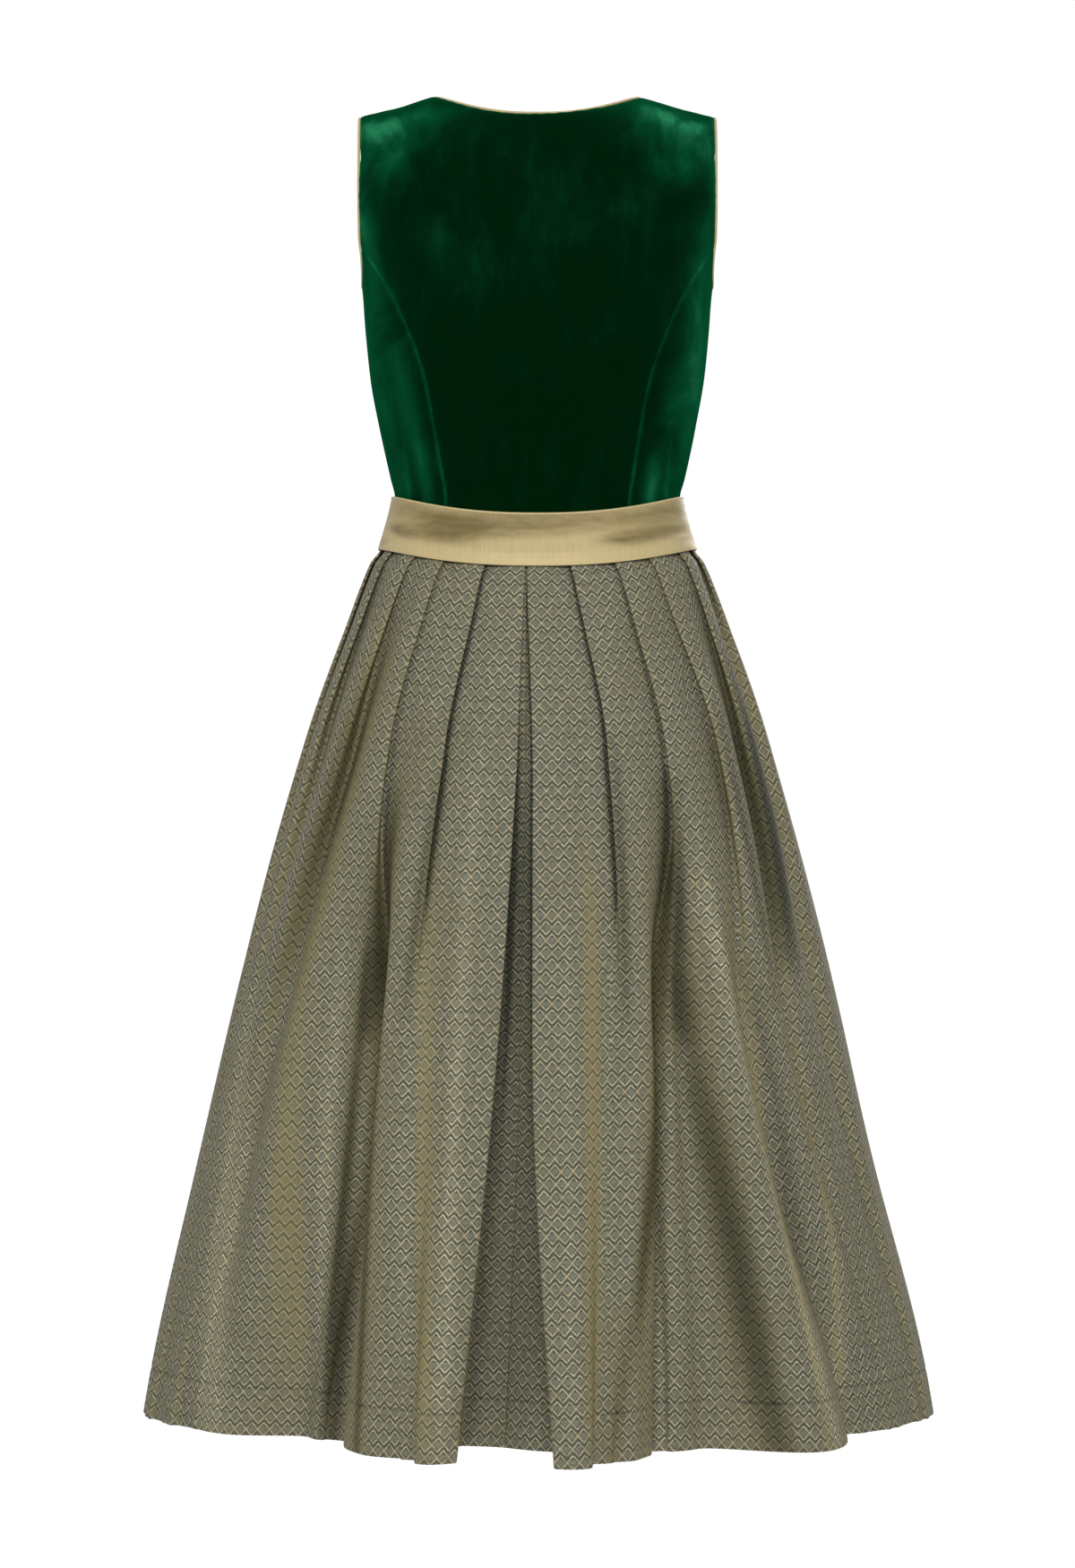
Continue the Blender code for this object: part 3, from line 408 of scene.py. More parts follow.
def tube(name, path, radius, twist, closed=True):
    """A cord: rings of radius r carried along a path, r * (side cos t + up sin t), with UV in metres."""
    along = unit(np.roll(path, -1, 0) - np.roll(path, 1, 0) if closed else np.gradient(path, axis=0))
    side = unit(np.cross(along, unit(np.array([0, 0, 1e-6]) - path * (1, 1, 0))))
    up = np.cross(side, along)
    turn, length = np.linspace(0, TURN, CORD_SIDES, endpoint=False), lengths(path, 0)[:, None]
    out = side[:, None] * np.cos(turn)[:, None] + up[:, None] * np.sin(turn)[:, None]
    points = (path[:, None] + radius * out).reshape(-1, 3)
    uv = join(length, turn * radius + twist * length).reshape(-1, 2)
    i = np.arange(len(points)).reshape(-1, CORD_SIDES)
    beside = np.roll(i, -1, 1)
    cells = join(i, beside, np.roll(beside, -1, 0), np.roll(i, -1, 0))
    faces = halves(cells if closed else cells[:-1])
    for centre, rim, turned in () if closed else ((path[0], i[0], 1), (path[-1], i[-1], -1)):
        cap = join(rim, np.full_like(rim, len(points)), np.roll(rim, -1))[:, ::turned]
        faces = np.concatenate([faces, cap])
        points, uv = np.append(points, [centre], 0), np.append(uv, [[0, 0]], 0)
    a, b, c = np.moveaxis(points[faces], 1, 0)
    faces = faces if (a * np.cross(b, c)).sum() > 0 else faces[:, ::-1]  # outward, by the volume inside
    return mesh_of(name, points, faces, uv[faces])


def lengths(points, axis):
    """Distances along a grid from its first row or column, summed from point to point."""
    steps = np.linalg.norm(np.diff(points, axis=axis), axis=-1)
    return np.insert(np.cumsum(steps, axis=axis), 0, 0, axis=axis)


# ---- bodice ----
SEAM_ROWS, ARMHOLE_ROWS, MIDDLE_ROWS = 60, 36, 46
NECK_COLUMNS, STRAP_COLUMNS, FRONT_COLUMNS, UNDERARM_COLUMNS = 48, 16, 72, 34
NECK_TURN = 1.4  # the neckline's points stand closer towards its ends
NECK_FADE = 3.5  # how fast the back neck's curve dies away in the rows below it
BODICE_RADIUS, BODICE_TALL = 0.155, 0.4  # turn angles into metres across the velvet, and heights into shares
CORD_SIDES, CORD_STEP = 14, 0.002  # points round the piping, and the step along it
CORD_EASING = 10  # times the armhole piping's bends are rounded off, each to the mean of its neighbours
PUCKER, PUCKER_LENGTH = 0.35, 0.014  # share by which seams draw in unevenly, and from pucker to pucker
PUCKER_DRIFT = 61  # how fast the distance between puckers wanders along a seam


def seam_line(seam):
    """A princess seam from behind the waistband up to the armhole, as (angle, h) pairs."""
    heights, away = np.array(seam).T / 1000
    bottom = BAND_TOP_Z
    for _ in range(3):
        angle = angle_at(smooth(bottom, heights, away), bottom)
        bottom = float(band_edge(angle, 0)) - TUCK
    h = np.linspace(bottom, heights[-1], SEAM_ROWS)
    return join(angle_at(smooth(h, heights, away), h), h)


def armhole_line(seam):
    """An armhole edge straight up from the end of a princess seam to the shoulder line."""
    h = np.linspace(seam[-1][1], STRAP_TOP, ARMHOLE_ROWS + 1)[1:]
    return join(angle_at(ARMHOLE_X, h), h)


def underarm_line(start):
    """The armhole's bottom, from the end of a princess seam to the side seam: the last part of an oval."""
    turn = np.linspace(UNDERARM_TURN, QUARTER, UNDERARM_COLUMNS)
    angle = 90 - (90 - start[0]) * np.cos(turn) / np.cos(UNDERARM_TURN)
    rise = (start[1] - UNDERARM_Z) * (1 - np.sin(turn)) / (1 - np.sin(UNDERARM_TURN))
    return join(angle, UNDERARM_Z + rise)


def neck_line(low, curve, columns):
    """A neckline from the centre to the neck point: z rises as a power of the distance x.

    Its points stand closer towards the neck point, at sines of even steps up to NECK_TURN.
    """
    x = NECK_X * np.sin(np.linspace(0, NECK_TURN, columns)) / math.sin(NECK_TURN)
    z = low + (shoulder_z(NECK_X) - low) * (x / NECK_X) ** curve
    h = h_at(z, x)
    return join(angle_at(x, h), h)


def strap_line(columns):
    """The shoulder seam from the neck point, left out, to the armhole."""
    x = np.linspace(NECK_X, ARMHOLE_X, columns)[1:]
    return join(angle_at(x, STRAP_TOP), STRAP_TOP)


def waist_line(start, end, columns):
    """The bodice's bottom edge, hidden behind the waistband."""
    angle = np.linspace(start, end, columns)
    return join(angle, band_edge(angle, 0) - TUCK)


def to_front(line):
    """A line of (angle, h) pairs moved from the back half to the front half."""
    return line * (-1, 1) + (180, 0)


def patch(bottom, top, left, right, fade=1.0):
    """A Coons patch: the blend from left to right plus that from bottom to top, less that of the corners.

    The top's weight is v ** fade, so that with a fade above 1 its shape dies away sooner below it.
    """
    u = np.linspace(0, 1, len(bottom))[None, :, None]
    v = np.linspace(0, 1, len(left))[:, None, None] ** fade
    across = (1 - u) * left[:, None] + u * right[:, None]
    upward = (1 - v) * bottom[None] + v * top[None]
    corners = (1 - v) * ((1 - u) * bottom[0] + u * bottom[-1]) + v * ((1 - u) * top[0] + u * top[-1])
    return across + upward - corners


def bodice_patches():
    """The back centre panel and the three panels of the right side, as grids of (angle, h) pairs."""
    back_seam, front_seam = seam_line(BACK_SEAM), seam_line(FRONT_SEAM)
    right = np.concatenate([back_seam, armhole_line(back_seam)])
    neck = neck_line(BACK_NECK_Z, BACK_NECK_CURVE, NECK_COLUMNS)
    half_top = np.concatenate([neck, strap_line(STRAP_COLUMNS + 1)])
    top = np.concatenate([(half_top * (-1, 1))[:0:-1], half_top])
    bottom = waist_line(-right[0][0], right[0][0], len(top))
    back_centre = patch(bottom, top, right * (-1, 1), right, NECK_FADE)

    top = underarm_line(back_seam[-1])
    side_seam = join(90.0, np.linspace(BAND_TOP_Z - TUCK, UNDERARM_Z, SEAM_ROWS))
    back_side = patch(waist_line(back_seam[0][0], 90, len(top)), top, back_seam, side_seam)

    front_edge = to_front(front_seam)
    top = to_front(underarm_line(front_seam[-1]))[::-1]
    front_side = patch(waist_line(90, front_edge[0][0], len(top)), top, side_seam, front_edge)

    left = to_front(np.concatenate([front_seam, armhole_line(front_seam)]))
    neck = neck_line(FRONT_NECK_Z, FRONT_NECK_CURVE, len(left) - MIDDLE_ROWS + 1)
    top = to_front(np.concatenate([neck[-1:], strap_line(FRONT_COLUMNS)]))[::-1]
    bottom = waist_line(left[0][0], FRONT_MIDDLE, FRONT_COLUMNS)
    middle = join(FRONT_MIDDLE, np.linspace(bottom[-1][1], FRONT_NECK_Z, MIDDLE_ROWS))
    front_centre = patch(bottom, top, left, np.concatenate([middle, to_front(neck)[1:]]))
    names = ("back_centre", "back_side", "front_side", "front_centre")
    return dict(zip(names, (back_centre, back_side, front_side, front_centre)))


def drawn_in(points, sides):
    """How far cloth rolls in at its sewn sides: SEAM_ROLL * bump(distance / width), unevenly puckered."""
    across, upward = lengths(points, 1), lengths(points, 0)
    total = 0
    for side, distance, along in (
        ("left", across, upward),
        ("right", across[:, -1:] - across, upward),
        ("top", upward[-1:] - upward, across),
    ):
        if side in sides:
            drift = 2 * np.sin(along * PUCKER_DRIFT)
            pucker = 1 + PUCKER * np.sin(TURN * along / PUCKER_LENGTH + drift)
            total = total + SEAM_ROLL * pucker * bump(distance / SEAM_ROLL_WIDTH)
    return total


def velvet_depth(angle, h):
    """How far the creases and the slow waves push the velvet in, from the tables, in metres."""
    across = np.radians(angle) * BODICE_RADIUS
    total = -waves(np.radians(angle), (h - BAND_TOP_Z) / BODICE_TALL, VELVET_WAVES)
    for start, low, end, high, depth, width in VELVET_CREASES:
        ends = [(math.radians(a) * BODICE_RADIUS, z / 1000) for a, z in ((start, low), (end, high))]
        for turn in (0, TURN * BODICE_RADIUS):
            total = total + depth / 1000 * crease(across + turn, h, *ends, width / 1000)
    top = band_edge(angle, 0)
    return total * between(h, top, top + SMOOTH_WAIST)


def seam_highlight(points):
    """Painted highlight of the pile along the two long edges: bump(distance / width), less at the puckers."""
    across = lengths(points, 1)
    away = np.minimum(across, across[:, -1:] - across)
    pucker = np.sin(TURN * lengths(points, 0) / SEAM_PUCKER)
    return SEAM_HIGHLIGHT * (1 - SEAM_FADES + SEAM_FADES * pucker) * bump(away / SEAM_HIGHLIGHT_WIDE)


def edge_cord(edge, near):
    """The middle line of piping along a panel's edge; near is the next line of its points."""
    along = unit(np.gradient(edge, axis=0))
    way = edge - near
    way = unit(way - (way * along).sum(-1, keepdims=True) * along)
    out = np.cross(along, way)
    out *= np.sign((out * (edge - np.array([0, 0, ROLL_START * 2]))).sum(-1, keepdims=True))
    return edge + way * (PIPING_RADIUS - PIPING_OVERLAP) - out * VELVET_THICK / 2


def evened(path, closed=False):
    """A path's points spaced evenly, by linear steps along its length."""
    if closed:
        path = np.append(path, path[:1], 0)
    length = lengths(path, 0)
    at = np.linspace(0, length[-1], int(length[-1] / CORD_STEP) + 1)
    even = np.stack([np.interp(at, length, axis) for axis in path.T], -1)
    return even[:-1] if closed else even


def cloth_of(points, middle):
    """UV in metres: the distance across from a middle column, and the distance up the panel."""
    across = lengths(points, 1)
    return join(across - across[:, middle : middle + 1], lengths(points, 0))


def build_bodice():
    """The seven velvet panels, their seams and creases, and the piping round neck and armholes."""
    grids, made = {}, {}
    flipped = np.array([-1, 1, 1])
    for name, place in bodice_patches().items():
        angle, h = place[..., 0], place[..., 1]
        base, normals = body(angle, h), outward(body, angle, h)
        grids[name] = base
        whole = name == "back_centre"
        sewn = ("left", "right", "top") if whole else ("left", "right")
        for side, sign in (("", 1),) if whole else (("_right", 1), ("_left", -1)):
            depth = velvet_depth(sign * angle, h) + drawn_in(base, sewn)
            outer, facing = base - normals * depth[..., None], normals
            cloth = cloth_of(base, base.shape[1] // 2 if whole else 0)
            # painted sheen of the pile, in patches and along the seams
            tone = patches(sign * angle, 1000 * h, PAINTED_PILE_SHEEN) + seam_highlight(base)
            if sign < 0:
                mirrored = (outer * flipped, facing * flipped, cloth, tone)
                outer, facing, cloth, tone = (grid[:, ::-1] for grid in mirrored)
            marks = {"painted_sheen": tone}
            made[name + side] = shell(f"{name}{side}_velvet", outer, facing, VELVET_THICK, cloth, marks)

    back, side, front_side, front = grids.values()
    under = edge_cord(side[-1, 1:], side[-2, 1:])[::-1]
    behind = edge_cord(back[SEAM_ROWS:, -1], back[SEAM_ROWS:, -2])
    before = edge_cord(front[SEAM_ROWS:-1, 0], front[SEAM_ROWS:-1, 1])[::-1]
    under_front = edge_cord(front_side[-1, 1:-1], front_side[-2, 1:-1])[::-1]
    armhole = evened(np.concatenate([under, behind, before, under_front]), closed=True)
    for _ in range(CORD_EASING):
        armhole = (np.roll(armhole, 1, 0) + 2 * armhole + np.roll(armhole, -1, 0)) / 4
    neck = slice(STRAP_COLUMNS, -STRAP_COLUMNS)
    front_neck = edge_cord(front[MIDDLE_ROWS - 1 : -1, -1], front[MIDDLE_ROWS - 1 : -1, -2])
    front_neck[0, 0] = max(front_neck[0, 0], PIPING_OVERLAP)
    path = np.concatenate([front_neck, edge_cord(back[-1, neck], back[-2, neck])[::-1]])
    path = evened(np.concatenate([path, front_neck[::-1] * flipped]))
    cords = {
        "armhole_piping_right": tube("armhole_cord_right", armhole, PIPING_RADIUS, PIPING_TWIST),
        "armhole_piping_left": tube("armhole_cord_left", armhole * flipped, PIPING_RADIUS, PIPING_TWIST),
        "neck_piping": tube("neck_cord", path, PIPING_RADIUS, PIPING_TWIST, closed=False),
    }
    return made, cords


# ---- waistband ----
BAND_COLUMNS, BAND_ROWS, BAND_EDGE_STEPS = 230, 56, 460
SATIN_DEEPER = 2.0
DEGREE = 0.0028 / BAND_HEIGHT  # one degree round the waist, as a share of the band's height
SATIN_CALM, SATIN_EASE = 0.2, 1.5  # share of the height over which creases die away at an edge, as a power
SATIN_ROLLS, SATIN_ROLL_WIDTH = (0.0006, 0.0005), 0.03  # the bottom and top edges roll in, over what share


def satin_depth(angle, rise):
    """How far the creases push the satin in: crease() in degrees and shares of the height, scaled alike."""
    total = 0
    for start, low, end, high, depth, width in SATIN_CREASES:
        ends = (start * DEGREE, low), (end * DEGREE, high)
        for turn in (0, 360):
            total = total + SATIN_DEEPER * depth / 1000 * crease((angle + turn) * DEGREE, rise, *ends, width)
    total = total * between(np.minimum(rise, 1 - rise), 0, SATIN_CALM) ** SATIN_EASE
    for inward, from_edge in zip(SATIN_ROLLS, (rise, 1 - rise)):
        total = total + inward * bump(from_edge / SATIN_ROLL_WIDTH)
    return total


def build_waistband():
    """Two satin bands with creases across them, and a rolled edge round the top."""
    rise = np.linspace(0, 1, BAND_ROWS)[:, None]
    made = {}
    for name, start in (("waistband_back", -90), ("waistband_front", 90)):
        angle = np.linspace(start, start + 180, BAND_COLUMNS)[None]
        normals, base = outward(band, angle, rise), band(angle, rise)
        depth = satin_depth(angle, rise) + drawn_in(base, ("left", "right"))
        outer, cloth = base - normals * depth[..., None], cloth_of(base, BAND_COLUMNS // 2)
        # painted shade where the band's creases turn from the light
        marks = {"shade": patches(angle, rise, SATIN_PAINTED_SHADES)}
        made[name] = shell(f"{name}_satin", outer, normals, SATIN_THICK, cloth, marks)
    angle = np.linspace(0, 360, BAND_EDGE_STEPS, endpoint=False)
    inward = outward(band, angle, 1.0) * SATIN_THICK / 2
    edge = tube("waistband_rolled_edge", band(angle, 1.0) - inward, BAND_EDGE_RADIUS, BAND_EDGE_TWIST)
    return made, edge


# ---- skirt ----
BACK_STEPS, FRONT_STEPS = 8, 5  # points from one control to the next
SKIRT_ROWS = 84
HEM_ROWS = (-0.0035, -0.0018, -0.0008, 0.0, 0.0008, 0.0018, 0.0035)  # extra rows beside the hem stitches
EDGE_ROWS = (0.0005, 0.0015, 0.004)  # extra rows above the hem's fold
# The hem stitches: how deep and wide their dimples are, the painted shade in them, and how much they pull.
STITCH_DEPTH, STITCH_WIDTH, STITCH_PAINTED_SHADE, STITCH_PULL = 0.0015, 0.0013, 0.45, 0.4
HEM_ROUND = 0.0012  # how far up the hem's fold is rounded
HEM_THICKER, HEM_STEP = 0.9, (-0.001, 0.0004)  # the turned-up cloth, and its edge beside the stitches
# The painted shadow beside a folded edge: how dark, its two widths and the wide one's share, and the drops
# between which it fades.
SHADOW_DARK, SHADOW_NARROW, SHADOW_WIDE, SHADOW_SHARE, SHADOW_FADES = 0.9, 0.0026, 0.012, 0.28, (0.26, 0.58)
SIDE_FADES, SIDE_LIGHTER = (0.45, 0.8), 0.85  # sines of the angle between which it weakens, and its share
SMOOTH_TOP = 0.06  # the creases grow to their depth over this drop
# Painted shade in the centre back recess, how dark at each drop, and the drops between which it opens.
RECESS_PAINTED_SHADE = ((0.0, 0.1), (0.17, 0.15), (0.28, 0.46), (0.5, 0.24), (0.86, 0.1))
RECESS_OPENS = (0.1, 0.24)
# Painted sheen and shade of the weave: how far its painted lit side leans, and how much its slope counts.
LEAN, SLANTED = 28.0, 0.85  # how far the bright side leans low on the skirt, and how much its slope counts


def half_controls(folds, direction):
    """Control points of one half of the pleats, outward from the centre back: angle and depth at 4 levels.

    Each pleat gives eight: two round the valley under its folded edge, one on the way back, two round
    the edge, one at its first quarter, one at its middle, and one where it has gone under the next.
    """
    rows = [row + USUAL_FOLD[len(row) - ALWAYS_GIVEN :] for row in folds + FRONT_FOLDS]
    columns = dict(zip(FOLD_COLUMNS, np.array(rows, float).T))
    zero = np.zeros(PLEATS_A_SIDE)

    def levels(name, waist_value=0):
        named = [columns.get(f"{name}_{level}", zero) for level in ("hip", "knee", "hem")]
        return np.stack([columns.get(f"{name}_waist", zero + waist_value), *named])

    edge = levels("edge")
    lap = levels("lap", PLEAT_LAP)
    sink = levels("sink", 2000 * LAYER) / 1000
    edge_in, dip_in, crest_in = (levels(name) / 1000 for name in ("edge_in", "dip_in", "crest_in"))
    after = np.concatenate([edge[:, 1:], 2 * FRONT_MIDDLE - edge[:, -1:]], 1)
    next_sink = np.concatenate([sink[:, 1:], zero[:4, None]], 1)
    next_valley = np.concatenate([(edge + lap)[:, 1:], after[:, -1:]], 1)
    width = after - edge
    shares = (FOLD_ROUND, PRESSED, UNDER, SLANT, SUNK)
    turn, pressed, under, slant, sunk = (np.array(v)[:, None] for v in shares)
    turn_edge = turn * width * columns["round"]
    valley, turn = edge + lap, turn * np.minimum(width, np.roll(width, 1, 1))
    low = [(valley - turn, sink), (valley + turn, sink - pressed * LAYER)]
    tip = [(edge - turn_edge, edge_in + pressed * LAYER), (edge + turn_edge, edge_in)]
    back = [((low[1][0] + tip[0][0]) / 2, (low[1][1] + tip[0][1]) / 2)]
    opened = np.array(LEVELS)[:, None]
    dip_at = PRESSED_DIP + (columns["dip_at"] - PRESSED_DIP) * opened
    crest_at = PRESSED_CREST + (columns["crest_at"] - PRESSED_CREST) * opened
    dip = [(edge + dip_at * width, dip_in)]
    crest = [(edge + crest_at * width, crest_in + slant * next_sink)]
    deep = sunk * next_sink + (1 - sunk) * crest_in
    tuck = [(np.minimum(after, next_valley) - under * width, deep)]
    points = np.stack([np.stack(p, -1) for p in low + back + tip + dip + crest + tuck], 2)
    points = points.reshape(len(LEVELS), -1, 2)[:, :-1]
    return points * (direction, 1)


def skirt_controls():
    """Control points all round, starting at the centre back seam and going by the right side."""
    right, left = half_controls(RIGHT_FOLDS, 1), half_controls(LEFT_FOLDS, -1)
    seam = join(RECESS_AT, np.array(RECESS_IN) / 1000)[:, None]
    floor_right, floor_left = (0.5 * seam + 0.5 * half[:, :1] for half in (right, left))
    left, left_seam = left + (360, 0), floor_left + (360, 0)
    return np.concatenate([seam, floor_right, right, left[:, ::-1], left_seam], 1)


def skirt_section(drop, controls):
    """x, y and z of the control points at a drop below the waistband: levels blended, set on the ring."""
    share = between(drop, 0, HEM_DROP)
    place = smooth(share, np.array(LEVELS), controls)
    angle, inside = place[..., 0], place[..., 1]
    exponent = 2 + (OVAL - 2) * (1 - between(share, 0, LEVELS[1]))
    x, y = oval(angle, *ring(np.float64(drop), SKIRT_RINGS), exponent)
    scale = 1 - inside / np.hypot(x, y)
    top = band_edge(angle, 1)
    z = top + drop / HEM_DROP * (HEM_Z - top) if drop > 0 else top - drop
    return join(x * scale, y * scale, z)


def spline(controls, first, last, steps):
    """The closed cubic B-spline of each row from one knot to another, in even steps of its parameter."""
    at = np.linspace(first, last, (last - first) * steps + 1)
    i, t = np.floor(at).astype(int), (at % 1)[:, None]
    weights = ((1 - t) ** 3, 3 * t**3 - 6 * t**2 + 4, -3 * t**3 + 3 * t**2 + 3 * t + 1, t**3)
    count = controls.shape[1]
    return sum(w / 6 * controls[:, (i + k) % count] for k, w in enumerate(weights, -1))


def skirt_drops():
    """The rows of the skirt: even ones, and close ones at the hem's stitches and fold."""
    even = np.linspace(-TUCK, HEM_DROP, SKIRT_ROWS)
    stitches = HEM_DROP - HEM_FOLD
    even = even[np.abs(even - stitches) > HEM_ROWS[-1] * 1.5]
    return np.sort(np.concatenate([even, stitches + np.array(HEM_ROWS), HEM_DROP - np.array(EDGE_ROWS)]))


def pleat_columns(first, steps, last):
    """A panel's columns at the bottoms of its pleats, its two sides among them, and at its folded edges."""
    count = 2 * (FIRST_FOLD + FOLD_POINTS * PLEATS_A_SIDE) - 3
    knots = FIRST_FOLD + FOLD_POINTS * np.arange(PLEATS_A_SIDE) + 0.5

    def inside(knots):
        columns = np.rint((np.concatenate([knots, count - knots]) - first) * steps).astype(int)
        return sorted(columns[(columns > 0) & (columns < last)])

    return [0, *inside(knots), last], inside(knots + TIP)


def skirt_cloth(points, valleys, edges, down):
    """UV of a skirt panel in metres, true to size: u runs along the rows and v down them.

    At the hem u is the distance along the cloth. Higher up each folded edge keeps its hem value, and u
    runs true to size from it both ways as far as the bottoms of the pleats beside it, where the cloth
    that the upper pleats hide is missing and u jumps. Gives the UV before and after each column.
    """
    along = lengths(points, 1)
    before, after = (np.zeros((*along.shape, 2)) for _ in range(2))
    before[..., 1] = after[..., 1] = down[:, None]
    for a, b in zip(valleys, valleys[1:]):
        held = [e for e in edges if a < e < b] or [a if a == 0 else b]
        near, far = held[0], held[-1]
        u = along[-1, near] + along[:, a : b + 1] - along[:, near, None]
        if far > near:
            middle = along[:, near : far + 1] - along[:, near, None]
            u[:, near - a : far - a + 1] = along[-1, near] + middle / middle[:, -1:] * middle[-1, -1]
            u[:, far - a :] = along[-1, far] + along[:, far : b + 1] - along[:, far, None]
        before[:, a + 1 : b + 1, 0], after[:, a:b, 0] = u[:, 1:], u[:, :-1]
    return before, after


def bearing(points):
    """The angle round the dress of each point, from the centre back, and its distance from the axis."""
    return np.degrees(np.arctan2(points[..., 0], -points[..., 1])), np.hypot(points[..., 0], points[..., 1])


def down_line(turn, radius, drop, start, top, end, bottom, width):
    """Beside a slanting line down the skirt: bump(distance / width) and sin(pi t), t from 0 to 1 down it."""
    t = between(drop, top / 1000, bottom / 1000)
    away = (turn - start - (end - start) * t + 180) % 360 - 180
    return bump(np.radians(away) * radius / (width / 1000)), np.sin(math.pi * t)


def painted_light_strips(turn, radius, drop):
    """Painted sheen and shade of the strips, how far turned and how dark: bump(distance / width) *
    sqrt(sin(pi t)).
    """
    turned = dark = 0
    for *line, turning, darkness in PAINTED_LIGHT_STRIPS + FRONT_PAINTED_STRIPS:
        across, along = down_line(turn, radius, drop, *line)
        strip = across * np.sqrt(np.abs(along))
        turned, dark = turned + turning * strip, dark + darkness * strip
    return turned, dark


def pleat_marks(points, normals, valleys, edges, drops, recess):
    """How far each point's weave is painted as turned from the light, as painted sheen and shade, and how
    dark it is painted.

    The side painted as lit faces outward at the centre back and front and at the sides, and leans by LEAN
    times the sine of twice the angle in between. The weave is painted as turned by the sine of the turn
    away from that, and by the strips. Painted shade lies in the strips, where painted light also lies, in
    the centre back recess, and as painted shadow on the cloth that runs under a fold, at a distance d from
    the folded edge: bump(d / narrow) plus a share of bump(d / wide), fading as the pleats open and towards
    the sides, where the pleats stand up from each other.
    """
    drop = drops[:, None]
    turn, radius = bearing(points)
    lean = LEAN * between(drop, 0, LEVELS[2] * HEM_DROP)
    bright = np.radians(turn - lean * np.sin(np.radians(2 * turn)))
    slope = np.abs(normals[..., 0] * np.cos(bright) + normals[..., 1] * np.sin(bright))
    turned, dark = painted_light_strips(turn, radius, drop)
    shadow = np.zeros_like(turn)
    for edge in edges:
        own = min(valleys, key=lambda valley: abs(valley - edge))
        at = valleys.index(own)
        end = valleys[min(at + 1, len(valleys) - 1)]
        under = slice(valleys[at - 1], own) if own < edge and at else slice(own + 1, end)
        beyond = (turn[:, under] - turn[:, edge : edge + 1] + 180) % 360 - 180
        d = np.radians(np.abs(beyond)) * radius[:, under]
        shadow[:, under] += bump(d / SHADOW_NARROW) + SHADOW_SHARE * bump(d / SHADOW_WIDE)
    aside = between(np.abs(np.sin(np.radians(turn))), *SIDE_FADES)
    shadow = SHADOW_DARK * shadow * (1 - between(drop, *SHADOW_FADES)) * (1 - SIDE_LIGHTER * aside)
    turned, dark = turned + SLANTED * slope, dark + shadow
    opened = between(drop, *RECESS_OPENS) if recess.start else 1
    turned[:, recess] = 0
    dark[:, recess] = shadow[:, recess] * opened + np.interp(drops, *np.array(RECESS_PAINTED_SHADE).T)[:, None]
    return turned, dark


def skirt_depth(points, drops):
    """How far creases and slow waves push the skirt in: bump(distance / width) * sin(pi t) * depth."""
    (turn, radius), drop = bearing(points), drops[:, None]
    total = -waves(np.radians(turn), drop, SKIRT_WAVES)
    for *line, depth, width in SKIRT_CREASES:
        across, along = down_line(turn, radius, drop, *line, width)
        total = total + depth / 1000 * across * along
    return total * between(drop, 0, SMOOTH_TOP)


def build_skirt():
    """The three skirt panels with their pleats, hem and centre back seam."""
    controls, drops = skirt_controls(), skirt_drops()
    rows = np.stack([skirt_section(drop, controls) for drop in drops])
    side, count = FIRST_FOLD + FOLD_POINTS * SIDE_PLEAT + CREST, controls.shape[1]
    down = np.append(0, np.cumsum(np.median(np.linalg.norm(np.diff(rows, axis=0), axis=-1), axis=1)))
    panels = (
        ("skirt_back_right", 0, side, BACK_STEPS),
        ("skirt_front", side, count - side + 1, FRONT_STEPS),
        ("skirt_back_left", count - side + 1, count, BACK_STEPS),
    )
    made = {}
    for name, first, last, steps in panels:
        points = spline(rows, first, last, steps)
        valleys, edges = pleat_columns(first, steps, points.shape[1] - 1)
        cloth, after = skirt_cloth(points, valleys, edges, down)
        radial = unit(points * (1, 1, 0))
        points = points - radial * skirt_depth(points, drops)[..., None]
        along = np.gradient(points, axis=1)
        normals = unit(join(along[..., 1], -along[..., 0], np.zeros_like(along[..., 0])))
        up = (HEM_DROP - drops)[:, None]
        pull = 1 - STITCH_PULL + STITCH_PULL * np.cos(TURN * cloth[-1, :, 0] / HEM_STITCH)
        stitches = pull * bump((up - HEM_FOLD) / STITCH_WIDTH)
        rounded = SKIRT_THICK / 3 * bump(up / HEM_ROUND)
        inward = STITCH_DEPTH * stitches + rounded + drawn_in(points, ("left", "right"))
        outer = points + normals * (SKIRT_THICK / 2 - inward)[..., None]
        thick = SKIRT_THICK * (1 + HEM_THICKER * between(HEM_FOLD - up, *HEM_STEP)) - rounded
        recess = slice(0, valleys[1]) if first == 0 else slice(valleys[-2] + 1, None)
        recess = slice(0, 0) if name == "skirt_front" else recess
        turned, dark = pleat_marks(points, normals, valleys, edges, drops, recess)
        # painted sheen and shade of the weave, and painted shade in the hem stitches' dimples
        marks = {"turned": turned[::-1], "shade": (dark + STITCH_PAINTED_SHADE * stitches)[::-1]}
        upside_down = (v[::-1] for v in (outer, normals, thick[..., None], cloth))
        made[name] = shell(f"{name}_jacquard", *upside_down, marks, after[::-1])
    return made


